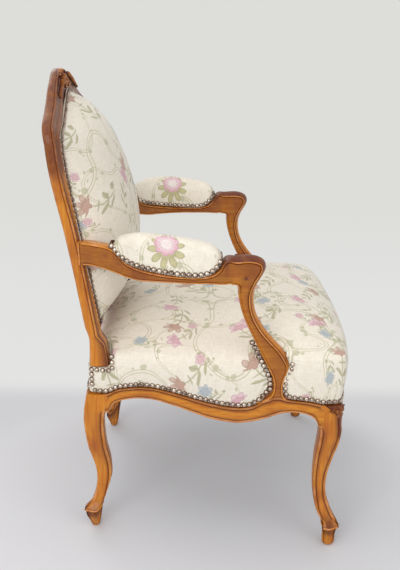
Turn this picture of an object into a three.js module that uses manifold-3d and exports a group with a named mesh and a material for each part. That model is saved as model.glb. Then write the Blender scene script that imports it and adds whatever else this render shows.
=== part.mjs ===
// An open armchair in the Louis XV style: a carved beech frame on cabriole legs, a sprung seat,
// a domed back and padded arms. Millimetres, +Z up, the sitter looks along -Y, the sitter's left is +X.
import * as THREE from "three";
import { mergeVertices } from "three/addons/utils/BufferGeometryUtils.js";
import Module from "manifold-3d";

const wasm = await Module();
wasm.setup();

// Driving dimensions
const FIT = 0.3; // clearance between pieces that meet
const OVERRUN = 20; // how far a cutting tool runs past what it cuts

// Seat frame
const FRAME_DEPTH = 526; // front face of the front legs to rear face of the rear legs
const FRONT_HALF_WIDTH = 300; // outer face of a front leg
const SEAT_TAPER = 60; // how far a rear leg's outer face stands inside the front one's
const FRONT_BOW = 30; // how far the front rail bows forward at its middle
const RAIL_TOP = 390;
const RAIL_THICKNESS = 28;
const APRON_THICKNESS = 14; // the shaped show face that hangs below the rail's body
const APRON_DROP = 105; // lowest point of the shaped lower edge, below the rails' top
const APRON_RISE = 40; // from there to its highest point
const FACE_HEIGHT = 34; // moulded lip under the fabric, above the lower edge
const LIP_RISE = 31;
const REAR_LIP_LIFT = 14; // straight lip of the rear rail above the others' lowest point
const REAR_APRON_LIFT = 27;
const WEB_LIFT = 5; // underside of the rails' body above the highest point of the lower edge
const REBATE = 6; // set-back of the wood behind the fabric
const TENON_LENGTH = 26;
const CROSS_TENON_LENGTH = 22; // tenons of the front and rear rails
const TENON_THICKNESS = 6;
const TENON_SET = 10; // middle of a tenon behind the show face
const TENON_DROP = 12; // lower edge of a tenon below the underside of the rails' body
const TENON_SHOULDER = 18; // upper edge of a tenon below the rails' top

// Legs
const FRONT_POST = 44;
const REAR_POST_DEPTH = 44;
const REAR_POST_WIDTH = 40;
const FRONT_LEG_SWING = 15; // how far the cabriole curve leaves the post's axis
const FRONT_LEG_SPLAY = 9; // the same curve seen from the front
const REAR_LEG_SWING = 15;
const REAR_LEG_SPLAY = 7;
const CHAMFER_SHARE = 0.3; // of a section's half width
const BOW_BLEND_SHARE = 0.5; // height from which a front leg takes the rail's bow
const KNEE_FLOWER_RADIUS = 15;
const KNEE_FLOWER_HEIGHT = 44;

// Back frame
const STILE_LIFT = 3; // where the stile starts above the fabric, over the rails' top
const STILE_WIDTH = 40;
const STILE_DEPTH = 31;
const STILE_FOOT_DEPTH = 41;
const SHOULDER_RISE = 460; // joint between stile and crest rail, above the rails' top
const SHOULDER_SPREAD = 12.5; // how far the shoulders stand outside the stile's foot
const BACK_RAKE = 68.5; // how far the shoulders lie behind the rear posts
const CREST_RISE = 96; // shoulder joint to the crest rail's middle line
const CREST_LEAN_SHARE = 0.19; // rearward lean of the crest rail per unit of height
const CREST_WIDTH = 50; // height of the crest rail's face at its middle
const LOWER_RAIL_LIFT = 16; // middle line of the lower back rail above the seat's rear crown
const LOWER_RAIL_WIDTH = 40;
const LOWER_RAIL_DROP = 8; // how far the lower back rail sags at its middle
const BACK_TENON_LENGTH = 22;
const BACK_TENON_WIDTH = 20;
const BACK_TENON_THICKNESS = 9;
const BACK_REBATE_WIDTH = 10;
const BACK_REBATE_DEPTH = 5;
const PETAL_RADIUS = 8;
const PETAL_COUNT = 6;
const FLOWER_RELIEF = 12; // how far the crest rail's flower stands out
const LEAF_LENGTH = 32;

// Arms
const ARM_RISE = 263; // top of the scroll above the rails' top
const SCROLL_DEPTH = 59; // top of the scroll to the joint between arm and support
const SCROLL_OVERHANG = 29.38; // front of the scroll before the middle of the support's head
const ARM_WIDTH = 44;
const ARM_REAR_WIDTH = 30;
const ARM_FRONT_INSET = 19; // middle line of the arm at the scroll, inside a front leg's face
const ARM_REAR_OFFSET = 3; // middle line of the arm at the stile, outside the rear post's middle
const SUPPORT_WIDTH = 27;
const SUPPORT_SWEEP = 74; // how far the support leans back from its foot
const SUPPORT_SETBACK = 136; // middle of the support's foot behind the front legs' face
const SUPPORT_FLARE = 8; // outward bulge of the support
const ARM_TENON_LENGTH = 18;
const ARM_TENON_HEIGHT = 22;
const SUPPORT_TENON_THICKNESS = 10;
const SUPPORT_TENON_LENGTH = 34;

// Upholstery
const FABRIC = 2.4;
const LINING = 1.6;
const HEM_GAP = 3; // fabric edge to the lip below it, hidden by the nails
const SEAT_FRONT_RISE = 122; // top of the seat at its front above the rails' top
const SEAT_REAR_RISE = 62;
const SEAT_BULGE = 7; // sides of the seat beyond the fabric edge
const HESSIAN_SET = 12; // edge of the seat's hessian behind the show face
const UNDERSIDE_SET = 16; // edge of the webbing and the dust cover behind the show face
const BACK_BULGE = 104; // depth of the back pad in front of its rebate
const ARM_PAD_RISE = 35; // top of the pad above the scroll
const ARM_PAD_WIDTH = 47;
const WEB_WIDTH = 50;
const WEB_THICKNESS = 1.5;
const WEB_SIDE_GAP = 5; // outermost lengthwise web inside the rear legs
const WEB_END_GAP = 44; // outermost crosswise web inside the legs
const WEB_COUNT = 5;
const BACK_WEB_COUNT = 3;
const BACK_WEB_PITCH = 95;
const SPRING_RISE = 34; // underside of the hessian over the springs, above the rails' top
const SPRING_RADIUS = 34;
const SPRING_WAIST = 22;
const SPRING_WIRE = 4;
const SPRING_TURNS = 4;
const PEG_DIAMETER = 7;
const PEG_LENGTH = 24;
const PEG_LIFT = 8; // middle of a peg above its tenon's lower edge
const PEG_SINK = 0.5; // outer end of a peg below the face
const CORNER_BLOCK_HEIGHT = 32;
const CORNER_BLOCK_REACH = 62;
const CORNER_BLOCK_DROP = 6; // top of a corner block below the rails' top

// Places that follow from the driving dimensions
const HALF_DEPTH = FRAME_DEPTH / 2;
const REAR_HALF_WIDTH = FRONT_HALF_WIDTH - SEAT_TAPER;
const FRONT_POST_X = FRONT_HALF_WIDTH - FRONT_POST / 2;
const FRONT_POST_Y = -HALF_DEPTH + FRONT_POST / 2;
const REAR_POST_X = REAR_HALF_WIDTH - REAR_POST_WIDTH / 2;
const REAR_POST_Y = HALF_DEPTH - REAR_POST_DEPTH / 2;
const RAIL_REAR_Y = REAR_POST_Y - REAR_POST_DEPTH / 2 - FIT;
const RAIL_FRONT_Y = FRONT_POST_Y + FRONT_POST / 2 + FIT;
const FRONT_RAIL_HALF = FRONT_POST_X - FRONT_POST / 2 - FIT;
const REAR_RAIL_HALF = REAR_POST_X - REAR_POST_WIDTH / 2 - FIT;
const HEM_SET = REBATE - FABRIC - FIT * 2; // fabric's outer face behind the wood's face
const APRON_LOW = RAIL_TOP - APRON_DROP;
const LIP_LOW = APRON_LOW + FACE_HEIGHT;
const REAR_LIP = LIP_LOW + REAR_LIP_LIFT;
const REAR_APRON_LOW = APRON_LOW + REAR_APRON_LIFT;
const WEB_LEVEL = APRON_LOW + APRON_RISE + WEB_LIFT; // where the webbing is tacked
const WEB_TOP = WEB_LEVEL - FIT;
const webPitch = (reach) => (reach * 2 - WEB_WIDTH) / (WEB_COUNT - 1);
const WEB_PITCH_X = webPitch(REAR_POST_X - REAR_POST_WIDTH / 2 - WEB_SIDE_GAP);
const WEB_PITCH_Y = webPitch(REAR_POST_Y - REAR_POST_DEPTH / 2 - WEB_END_GAP);
const TENON_LOW = WEB_LEVEL - TENON_DROP;
const TENON_HIGH = RAIL_TOP - TENON_SHOULDER;
const PEG_HEIGHT = TENON_LOW + PEG_LIFT;
const STILE_FOOT = RAIL_TOP + STILE_LIFT;
const SHOULDER_HEIGHT = RAIL_TOP + SHOULDER_RISE;
const SHOULDER_X = REAR_POST_X + SHOULDER_SPREAD;
const SEAT_FRONT_CROWN = RAIL_TOP + SEAT_FRONT_RISE;
const SEAT_REAR_CROWN = RAIL_TOP + SEAT_REAR_RISE;
const SPRING_TOP = RAIL_TOP + SPRING_RISE;
const LOWER_RAIL_HEIGHT = SEAT_REAR_CROWN + LOWER_RAIL_LIFT;
const ARM_HEIGHT = RAIL_TOP + ARM_RISE;
const ARM_UNDERSIDE = ARM_HEIGHT - SCROLL_DEPTH;
const ARM_PAD_TOP = ARM_HEIGHT + ARM_PAD_RISE;
const ARM_FRONT_X = FRONT_HALF_WIDTH - ARM_FRONT_INSET;
const ARM_REAR_X = REAR_POST_X + ARM_REAR_OFFSET;
const SUPPORT_FOOT_Y = -HALF_DEPTH + SUPPORT_SETBACK;

// Shapes, as shares of the sizes above
// Lower and upper edge of a side rail: length from the rear, lower edge, lip
const SIDE_RAIL_SHARES = [
  [0, 0.03, 0.35], [0.018, 0.48, 0.48], [0.054, 0.75, 0.74], [0.109, 0.93, 0.9], [0.157, 1, 1],
  [0.221, 0.98, 0.98], [0.274, 0.85, 0.87], [0.356, 0.6, 0.61], [0.429, 0.33, 0.35],
  [0.493, 0.13, 0.16], [0.557, 0.03, 0.03], [0.621, 0, 0], [0.683, 0.13, 0.16],
  [0.745, 0.35, 0.68], [0.806, 0.65, 1], [0.85, 0.8, 0.85], [0.9, 0.83, 0.8],
  [0.946, 0.75, 0.77], [0.982, 0.5, 0.71], [1, 0.08, 0.65],
];
// Half of the front rail: distance from its middle, lower edge, lip
const FRONT_RAIL_SHARES = [
  [0, 0.05, 0.03], [0.22, 0.12, 0.1], [0.45, 0.5, 0.4], [0.65, 0.85, 0.75], [0.8, 0.97, 0.88],
  [0.92, 0.8, 0.78], [1, 0.08, 0.65],
];
// Cabriole legs: height, swing of the middle line, half width
const FRONT_LEG_SHARES = [
  [0, 0.73, 0.4], [0.03, 0.73, 0.45], [0.106, 0.67, 0.74], [0.14, 0.79, 0.9], [0.163, 0.72, 0.86],
  [0.183, 0.62, 0.8], [0.257, 0, 0.7], [0.34, -0.73, 0.6], [0.434, -1.03, 0.62],
  [0.531, -0.93, 0.69], [0.64, -0.53, 0.81], [0.737, 0, 0.9], [0.829, 0.13, 0.94], [1, 0, 1],
];
const REAR_LEG_SHARES = [
  [0, 0.97, 0.43], [0.03, 0.9, 0.46], [0.106, 0.97, 0.82], [0.139, 0.97, 0.95], [0.155, 0.85, 0.9],
  [0.19, 0.47, 0.75], [0.285, -0.07, 0.66], [0.388, -0.3, 0.71], [0.503, -0.17, 0.8],
  [0.642, 0.3, 0.88], [0.794, 0.57, 0.94], [0.89, 0.4, 1], [1, 0, 1],
];
// Stile: height, rake, spread, depth between the foot's (1) and the stile's own (0)
const STILE_SHARES = [
  [0, -0.036, 0, 1], [0.05, -0.014, -0.04, 0.6], [0.11, 0.026, -0.12, 0.15], [0.17, 0.07, -0.18, 0],
  [0.24, 0.15, -0.25, 0], [0.32, 0.24, -0.3, 0], [0.45, 0.386, -0.32, 0], [0.54, 0.493, -0.2, 0],
  [0.646, 0.62, 0.02, 0],
  [0.765, 0.783, 0.4, 0], [0.874, 0.914, 0.75, 0], [0.962, 0.983, 0.97, 0], [1, 1, 1, 0],
];
// Half of the crest rail: distance from the middle, height, width from the stile's (0) to the crest's (1)
const CREST_SHARES = [
  [0, 1, 1], [0.116, 0.958, 0.95], [0.241, 0.854, 0.85], [0.383, 0.729, 0.65], [0.54, 0.562, 0.35],
  [0.761, 0.359, 0.1], [0.86, 0.286, 0], [0.943, 0.21, 0], [0.969, 0.172, 0], [0.988, 0.115, 0],
  [0.998, 0.062, 0], [1, 0, 0],
];
// Arm: length from the stile, underside, top, width from the rear's (0) to the scroll's (1), middle line
const ARM_SHARES = [
  [0, 0.3, 1.13, 0, 0], [0.07, 0.24, 1.05, 0, 0.08], [0.13, 0.2, 1.02, 0.1, 0.2],
  [0.158, 0.19, 0.8, 0.3, 0.27], [0.19, 0.18, 0.62, 0.5, 0.36], [0.24, 0.17, 0.5, 0.7, 0.5],
  [0.32, 0.16, 0.42, 0.9, 0.7], [0.43, 0.12, 0.36, 1, 0.88], [0.54, 0.08, 0.3, 1, 0.98],
  [0.65, 0.06, 0.3, 1, 1.02], [0.72, 0.05, 0.38, 1, 1.03], [0.76, 0.04, 0.56, 1, 1.03],
  [0.785, 0.03, 0.93, 0.95, 1.02], [0.84, 0, 0.98, 0.9, 1.01], [0.9, 0, 1, 0.92, 1],
  [0.95, 0.02, 0.98, 0.9, 0.99], [0.98, 0.25, 0.88, 0.75, 0.99], [1, 0.55, 0.75, 0.5, 0.98],
];
// Arm support: height, lean, length of the section over its width, flare
const SUPPORT_SHARES = [
  [0, 0, 0.66, 0], [0.05, 0, 0.85, 0.1], [0.13, -0.04, 1.45, 0.35], [0.2, 0, 1.72, 0.6],
  [0.28, 0.12, 1.7, 0.8], [0.36, 0.25, 1.55, 0.95], [0.45, 0.42, 1.4, 1], [0.55, 0.59, 1.12, 0.95],
  [0.65, 0.76, 1, 0.8], [0.76, 0.87, 1, 0.55], [0.87, 0.91, 1.08, 0.35], [0.95, 0.9, 1.2, 0.25],
  [1, 0.87, 1.4, 0.2],
];
// Ear of a side rail under the support: height from the lip to the rail's top, length over the support's
const EAR_SHARES = [[-0.45, 2.1], [0, 1.35], [0.35, 0.82], [0.7, 0.68], [1, 0.66]];
// Cushion profiles: distance from the middle, rise, bulge of the side
const SEAT_PROFILE_SHARES = [
  [1, 0, 0], [1, 0.25, 0.7], [1, 0.5, 1], [0.985, 0.64, 0.6], [0.94, 0.76, 0], [0.84, 0.86, 0],
  [0.64, 0.945, 0], [0.36, 0.985, 0],
];
const SEAT_BASE_SHARES = [[1, 0], [0.87, 0], [0.72, 0.85], [0.56, 1]];
const BACK_PROFILE_SHARES = [
  [1, 0], [0.985, 0.12], [0.95, 0.26], [0.88, 0.44], [0.76, 0.64], [0.58, 0.84], [0.34, 0.96],
];
const BACK_BASE_SHARES = [1, 0.72, 0.36];
// Half of the lower back rail: distance from the middle, drop, width
const LOWER_RAIL_SHARES = [[0, 1, 1.1], [0.14, 0.85, 1], [0.32, 0.3, 0.92], [0.6, 0, 0.92], [1, 0.1, 1]];
// Arm pad: place along the arm, top, width
const ARM_PAD_SHARES = [
  [0.165, -0.1, 0.45], [0.18, 0.2, 0.62], [0.214, 0.6, 0.82], [0.27, 0.83, 0.95], [0.325, 0.97, 1],
  [0.437, 1, 1], [0.55, 0.91, 1], [0.66, 0.71, 1], [0.73, 0.49, 0.88], [0.764, 0.14, 0.6],
];
// Section of an arm pad: half width, height
const PAD_SECTION_SHARES = [
  [1, 0], [1.04, 0.22], [1.04, 0.5], [0.93, 0.76], [0.68, 0.93], [0.3, 1], [-0.3, 1], [-0.68, 0.93],
  [-0.93, 0.76], [-1.04, 0.5], [-1.04, 0.22], [-1, 0],
];
// Steps along a seat's side, closer where the lip beneath turns
const REAR_STEP_SHARES = [-0.5, 0, 0.5];
const SIDE_STEP_SHARES = [-0.76, -0.62, -0.5, -0.36, -0.16, 0.12, 0.34, 0.52, 0.7, 0.8];
const CORNER_SHARE = 0.06; // corner radius of the seat, of its half width
const REAR_CALM_SHARE = 0.55; // from here to the rear the seat's side loses its bulge
const CORNER_STEPS = 3;
const ROUND_SIDES = 8;
const WIRE_SIDES = 5;
const TURN_STEPS = 8;

// Materials
const wood = new THREE.MeshStandardMaterial({ color: 0xb06a2a, roughness: 0.38, metalness: 0 });
const hiddenWood = new THREE.MeshStandardMaterial({ color: 0xc9a878, roughness: 0.75, metalness: 0 });
const silk = new THREE.MeshStandardMaterial({ color: 0xeee6d2, roughness: 0.6, metalness: 0 });
const hessian = new THREE.MeshStandardMaterial({ color: 0xb79a6a, roughness: 0.95, metalness: 0 });
const horsehair = new THREE.MeshStandardMaterial({ color: 0x4a3a2c, roughness: 0.95, metalness: 0 });
const blackCloth = new THREE.MeshStandardMaterial({ color: 0x1e1d1c, roughness: 0.9, metalness: 0 });
const steel = new THREE.MeshStandardMaterial({ color: 0x8b8378, roughness: 0.4, metalness: 0.9 });

const chair = new THREE.Group();

const mix = (a, b, share) => a + (b - a) * share;
const clamp = (value, low, high) => Math.min(high, Math.max(low, value));

// A column of a table of shares at a place along its first column.
function read(rows, at, column) {
  const place = clamp(at, rows[0][0], rows.at(-1)[0]);
  const k = rows.findIndex((row, i) => i > 0 && place <= row[0]);
  const [low, high] = [rows[k - 1], rows[k]];
  return mix(low[column], high[column], (place - low[0]) / (high[0] - low[0]));
}

// A solid from points and triangles, turned to face out.
function solid(points, triangles) {
  const build = (faces) =>
    new wasm.Manifold(
      new wasm.Mesh({
        numProp: 3,
        vertProperties: Float32Array.from(points.flatMap((p) => [p.x, p.y, p.z])),
        triVerts: Uint32Array.from(faces.flat()),
      }),
    );
  const made = build(triangles);
  return made.volume() > 0 ? made : build(triangles.map(([a, b, c]) => [a, c, b]));
}

// The band of triangles between two rings of points that start at these indices.
function band(from, to, count) {
  const faces = [];
  for (let i = 0; i < count; i++) {
    const next = (i + 1) % count;
    faces.push([from + i, from + next, to + next], [from + i, to + next, to + i]);
  }
  return faces;
}

// A bar through rings of points. The outlines close its two ends.
function loft(rings, firstOutline, lastOutline) {
  const count = rings[0].length;
  const faces = [];
  for (let k = 1; k < rings.length; k++) faces.push(...band((k - 1) * count, k * count, count));
  const cap = (outline) =>
    THREE.ShapeUtils.triangulateShape(outline.map(([u, v]) => new THREE.Vector2(u, v)), []).map(
      (face) => [...face].sort((a, b) => a - b),
    );
  const last = (rings.length - 1) * count;
  for (const [a, b, c] of cap(firstOutline)) faces.push([c, b, a]);
  for (const [a, b, c] of cap(lastOutline)) faces.push([last + a, last + b, last + c]);
  return solid(rings.flat(), faces);
}

// A bar from stations, each an origin, two directions and an outline in them.
function bar(stations) {
  const rings = stations.map(({ origin, across, up, outline }) =>
    outline.map(([u, v]) => origin.clone().addScaledVector(across, u).addScaledVector(up, v)),
  );
  return loft(rings, stations[0].outline, stations.at(-1).outline);
}

// A closed body between a lower and an upper stack of rings, each ending in a point.
function shell(outer, outerTip, inner, innerTip) {
  const count = outer[0].length;
  const skin = (start, rings) => {
    const last = start + (rings - 1) * count;
    const faces = outer[0].map((_, i) => [last + i, last + ((i + 1) % count), last + count]);
    for (let k = 1; k < rings; k++)
      faces.push(...band(start + (k - 1) * count, start + k * count, count));
    return faces;
  };
  const start = outer.length * count + 1;
  const turned = skin(start, inner.length).map(([a, b, c]) => [a, c, b]);
  return solid(
    [...outer.flat(), outerTip, ...inner.flat(), innerTip],
    [...skin(0, outer.length), ...turned, ...band(start, 0, count)],
  );
}

// A solid from a three.js geometry.
function solidOf(geometry) {
  const bare = geometry.clone();
  bare.deleteAttribute("normal");
  bare.deleteAttribute("uv");
  const merged = mergeVertices(bare);
  return new wasm.Manifold(
    new wasm.Mesh({
      numProp: 3,
      vertProperties: Float32Array.from(merged.attributes.position.array),
      triVerts: Uint32Array.from(merged.index.array),
    }),
  );
}

function block([x0, x1], [y0, y1], [z0, z1]) {
  const box = new THREE.BoxGeometry(x1 - x0, y1 - y0, z1 - z0);
  return solidOf(box.translate((x0 + x1) / 2, (y0 + y1) / 2, (z0 + z1) / 2));
}

function ball(centre, radii) {
  const sphere = new THREE.SphereGeometry(1, ROUND_SIDES, ROUND_SIDES - 2);
  return solidOf(sphere.scale(...radii).translate(...centre));
}

// A rod between two points.
function rod(from, to, diameter) {
  const along = to.clone().sub(from);
  const round = new THREE.CylinderGeometry(diameter / 2, diameter / 2, along.length(), ROUND_SIDES);
  const turn = new THREE.Quaternion().setFromUnitVectors(
    new THREE.Vector3(0, 1, 0),
    along.clone().normalize(),
  );
  const middle = from.clone().add(to).multiplyScalar(1 / 2);
  return solidOf(round.applyQuaternion(turn).translate(middle.x, middle.y, middle.z));
}

function place(name, made, material, mirrored = false) {
  const { vertProperties, triVerts, numProp } = made.getMesh();
  const points = new Float32Array((vertProperties.length / numProp) * 3);
  for (let i = 0; i < points.length / 3; i++)
    points.set(vertProperties.subarray(i * numProp, i * numProp + 3), i * 3);
  const geometry = new THREE.BufferGeometry();
  geometry.setAttribute("position", new THREE.BufferAttribute(points, 3));
  geometry.setIndex(new THREE.BufferAttribute(triVerts, 1));
  const mesh = new THREE.Mesh(geometry, material);
  mesh.name = name;
  if (mirrored) mesh.scale.x = -1;
  chair.add(mesh);
}

// The sitter's left piece as it is, and the right one as its mirror image.
function placePair(name, made, material) {
  place(`${name}_left`, made, material);
  place(`${name}_right`, made, material, true);
}

const X = new THREE.Vector3(1, 0, 0);
const Y = new THREE.Vector3(0, 1, 0);
const Z = new THREE.Vector3(0, 0, 1);

// A rectangle with its corners cut, in half sizes.
function cutRectangle(halfU, halfV) {
  const c = Math.min(halfU, halfV) * CHAMFER_SHARE;
  return [
    [halfU, -halfV + c], [halfU, halfV - c], [halfU - c, halfV], [-halfU + c, halfV],
    [-halfU, halfV - c], [-halfU, -halfV + c], [-halfU + c, -halfV], [halfU - c, -halfV],
  ];
}

// The back frame's moulding: +u points out of the opening, -v to the front, with a rebate for the fabric.
function frameMoulding(halfU, halfV) {
  const c = Math.min(halfU, halfV) * CHAMFER_SHARE;
  const [rebateU, rebateV] = [-halfU + BACK_REBATE_WIDTH, -halfV + BACK_REBATE_DEPTH];
  return [
    [halfU, -halfV + c], [halfU, halfV - c], [halfU - c, halfV], [-halfU + c, halfV],
    [-halfU, halfV - c], [-halfU, rebateV], [rebateU, rebateV], [rebateU, -halfV],
    [halfU - c, -halfV],
  ];
}

// Seat plan. p runs across and q from the front, -1, to the rear, 1.
function sideShare(y) {
  return clamp((RAIL_REAR_Y - y) / (RAIL_REAR_Y - RAIL_FRONT_Y), 0, 1);
}

function halfWidthAt(y) {
  return mix(REAR_HALF_WIDTH, FRONT_HALF_WIDTH, sideShare(y));
}

function frontBow(x) {
  return FRONT_BOW * (1 - clamp(Math.abs(x) / FRONT_HALF_WIDTH, 0, 1) ** 2);
}

function seatPoint(p, q, inset, z) {
  const y = q * (HALF_DEPTH - inset);
  const x = p * (halfWidthAt(y) - inset);
  return new THREE.Vector3(x, y - frontBow(x) * Math.max(0, -q) ** 2, z);
}

// A square with round corners, anticlockwise, as shares of its half size.
function roundSquare(radius, sideShares, rearShares, frontShares) {
  const flat = 1 - radius;
  const corner = (sx, sy, start) =>
    Array.from({ length: CORNER_STEPS + 1 }, (_, i) => {
      const angle = start + ((Math.PI / 2) * i) / CORNER_STEPS;
      return [sx * flat + radius * Math.cos(angle), sy * flat + radius * Math.sin(angle)];
    });
  const [side, rear, front] = [sideShares, rearShares, frontShares].map((shares) =>
    shares.map((t) => t * flat),
  );
  return [
    ...corner(1, 1, 0), ...rear.toReversed().map((t) => [t, 1]),
    ...corner(-1, 1, Math.PI / 2), ...side.toReversed().map((t) => [-1, t]),
    ...corner(-1, -1, Math.PI), ...front.map((t) => [t, -1]),
    ...corner(1, -1, (Math.PI * 3) / 2), ...side.map((t) => [1, t]),
  ];
}

const lipHeight = (share) => LIP_LOW + share * LIP_RISE;
const apronHeight = (share) => APRON_LOW + share * APRON_RISE;
const sideLip = (y) => lipHeight(read(SIDE_RAIL_SHARES, sideShare(y), 2));
const frontLip = (x) => lipHeight(read(FRONT_RAIL_SHARES, Math.abs(x) / FRONT_RAIL_HALF, 2));
const FRONT_LEG_TOP = lipHeight(SIDE_RAIL_SHARES.at(-1)[2]);
const REAR_LEG_TOP = lipHeight(SIDE_RAIL_SHARES[0][2]);

function hemHeight(p, q, point) {
  if (Math.abs(p) >= Math.abs(q)) return sideLip(point.y) + HEM_GAP;
  return (q < 0 ? frontLip(point.x) : REAR_LIP) + HEM_GAP;
}

// Rows of a table of half a rail, from one end over the middle to the other.
function bothHalves(rows) {
  const turned = rows.slice(1).map(([along, ...rest]) => [-along, ...rest]);
  return [...rows.toReversed(), ...turned];
}

// Rings of the seat's surface, set in from the cover's outer face. Its front steps fall on the rail's.
const flatHalf = (FRONT_HALF_WIDTH - HEM_SET) * (1 - CORNER_SHARE);
const FRONT_STEP_SHARES = bothHalves(FRONT_RAIL_SHARES)
  .map(([along]) => (along * FRONT_RAIL_HALF) / flatHalf)
  .toReversed();
const railEndShare = RAIL_REAR_Y / ((HALF_DEPTH - HEM_SET) * (1 - CORNER_SHARE));
const SEAT_SQUARE = roundSquare(
  CORNER_SHARE,
  [-railEndShare, ...SIDE_STEP_SHARES, railEndShare],
  REAR_STEP_SHARES,
  FRONT_STEP_SHARES,
);
const seatTop = (q) => mix(SEAT_FRONT_CROWN, SEAT_REAR_CROWN, (q + 1) / 2);

function seatRings(inset) {
  return SEAT_PROFILE_SHARES.map(([scale, rise, bulge]) =>
    SEAT_SQUARE.map(([p, q]) => {
      const hem = hemHeight(p, q, seatPoint(p, q, HEM_SET, 0));
      const z = mix(hem, seatTop(q * scale) - inset, rise);
      const calm = clamp((1 - q) / (1 - REAR_CALM_SHARE), 0, 1);
      return seatPoint(p * scale, q * scale, HEM_SET + inset - bulge * calm * SEAT_BULGE, z);
    }),
  );
}

const seatTip = (inset) => seatPoint(0, 0, 0, seatTop(0) - inset);

// The sprung surface under the stuffing: flat on the rails and raised over the springs
function seatBaseRings(inset, lift) {
  return SEAT_BASE_SHARES.map(([scale, rise]) =>
    SEAT_SQUARE.map(([p, q]) =>
      seatPoint(p * scale, q * scale, inset, mix(RAIL_TOP + FIT, SPRING_TOP, rise) + lift),
    ),
  );
}

const seatBaseTip = (lift) => seatPoint(0, 0, 0, SPRING_TOP + lift);

// Wooden frame. A mortise is its tenon grown by the fit.
function grownBox(x, y, z, grow) {
  const span = ([a, b]) => [a - grow, b + grow];
  return block(span(x), span(y), span(z));
}

const around = (middle, size) => [middle - size / 2, middle + size / 2];
const tenonZ = [TENON_LOW, TENON_HIGH];

function sideRailTenons(grow) {
  const rear = grownBox(
    around(REAR_HALF_WIDTH - TENON_SET, TENON_THICKNESS),
    [RAIL_REAR_Y - FIT, RAIL_REAR_Y + TENON_LENGTH],
    tenonZ,
    grow,
  );
  const front = grownBox(
    around(FRONT_HALF_WIDTH - TENON_SET, TENON_THICKNESS),
    [RAIL_FRONT_Y - TENON_LENGTH, RAIL_FRONT_Y + FIT],
    tenonZ,
    grow,
  );
  return rear.add(front);
}

function crossRailTenon(railHalf, faceY, grow) {
  return grownBox(
    [railHalf - FIT, railHalf + CROSS_TENON_LENGTH],
    around(faceY - Math.sign(faceY) * TENON_SET, TENON_THICKNESS),
    tenonZ,
    grow,
  );
}

const frontPostFace = -HALF_DEPTH - frontBow(FRONT_POST_X);
const frontRailTenon = (grow) => crossRailTenon(FRONT_RAIL_HALF, frontPostFace, grow);
const rearRailTenon = (grow) => crossRailTenon(REAR_RAIL_HALF, HALF_DEPTH, grow);

// A rail's section: u is measured outwards from the show face.
function railSection(low, lip, thickness) {
  return [
    [0, low], [0, lip], [-REBATE, lip], [-REBATE, RAIL_TOP], [-thickness, RAIL_TOP],
    [-thickness, WEB_LEVEL], [-APRON_THICKNESS, WEB_LEVEL], [-APRON_THICKNESS, low],
  ];
}

// Arm support, and the ear of the rail that carries it
const supportY = (share) => SUPPORT_FOOT_Y + SUPPORT_SWEEP * share;
const supportFootX = halfWidthAt(SUPPORT_FOOT_Y) - SUPPORT_WIDTH / 2;

function armSupport(grow) {
  const [low, high] = [RAIL_TOP + FIT - grow, ARM_UNDERSIDE - FIT + grow];
  return bar(
    SUPPORT_SHARES.map(([height, lean, length, flare]) => ({
      origin: new THREE.Vector3(
        mix(supportFootX, ARM_FRONT_X, height) + SUPPORT_FLARE * flare * (1 - height),
        supportY(lean),
        mix(low, high, height),
      ),
      across: X,
      up: Y,
      outline: cutRectangle(SUPPORT_WIDTH / 2 + grow, (SUPPORT_WIDTH * length) / 2 + grow),
    })),
  );
}

const supportHeadY = supportY(SUPPORT_SHARES.at(-1)[1]);
const ARM_FRONT_Y = supportHeadY - SCROLL_OVERHANG;

function supportTenons(grow) {
  const foot = grownBox(
    around(supportFootX - REBATE / 2, SUPPORT_TENON_THICKNESS),
    around(SUPPORT_FOOT_Y, SUPPORT_TENON_THICKNESS),
    [RAIL_TOP - SUPPORT_TENON_LENGTH, RAIL_TOP + FIT * 2],
    grow,
  );
  const head = grownBox(
    around(ARM_FRONT_X, SUPPORT_TENON_THICKNESS),
    around(supportHeadY, SUPPORT_TENON_THICKNESS),
    [ARM_UNDERSIDE - FIT * 2, ARM_UNDERSIDE + SUPPORT_TENON_LENGTH],
    grow,
  );
  return foot.add(head);
}

function ear(grow) {
  const lip = sideLip(SUPPORT_FOOT_Y);
  const rings = EAR_SHARES.map(([height, length]) => {
    const z = mix(lip, RAIL_TOP, height) + grow * height;
    const reach = (SUPPORT_WIDTH * length) / 2 + grow;
    const [front, rear] = [SUPPORT_FOOT_Y - reach, SUPPORT_FOOT_Y + reach];
    return [
      new THREE.Vector3(halfWidthAt(front) + grow, front, z),
      new THREE.Vector3(halfWidthAt(rear) + grow, rear, z),
      new THREE.Vector3(halfWidthAt(rear) - REBATE * 2, rear, z),
      new THREE.Vector3(halfWidthAt(front) - REBATE * 2, front, z),
    ];
  });
  const square = [[0, 0], [1, 0], [1, 1], [0, 1]];
  return loft(rings, square, square);
}

// A peg that locks a tenon, driven in from a face along an axis.
function peg(x, y, z, inwards, grow) {
  const head = new THREE.Vector3(x, y, z).addScaledVector(inwards, PEG_SINK - grow);
  const tip = new THREE.Vector3(x, y, z).addScaledVector(inwards, PEG_LENGTH + grow);
  return rod(head, tip, PEG_DIAMETER + grow * 2);
}

const inX = X.clone().negate();
const inY = Y.clone().negate();
const frontPeg = (grow) =>
  peg(FRONT_HALF_WIDTH, RAIL_FRONT_Y - TENON_LENGTH / 2, PEG_HEIGHT, inX, grow);
const rearPeg = (grow) =>
  peg(REAR_HALF_WIDTH, RAIL_REAR_Y + TENON_LENGTH / 2, PEG_HEIGHT, inX, grow);

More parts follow.
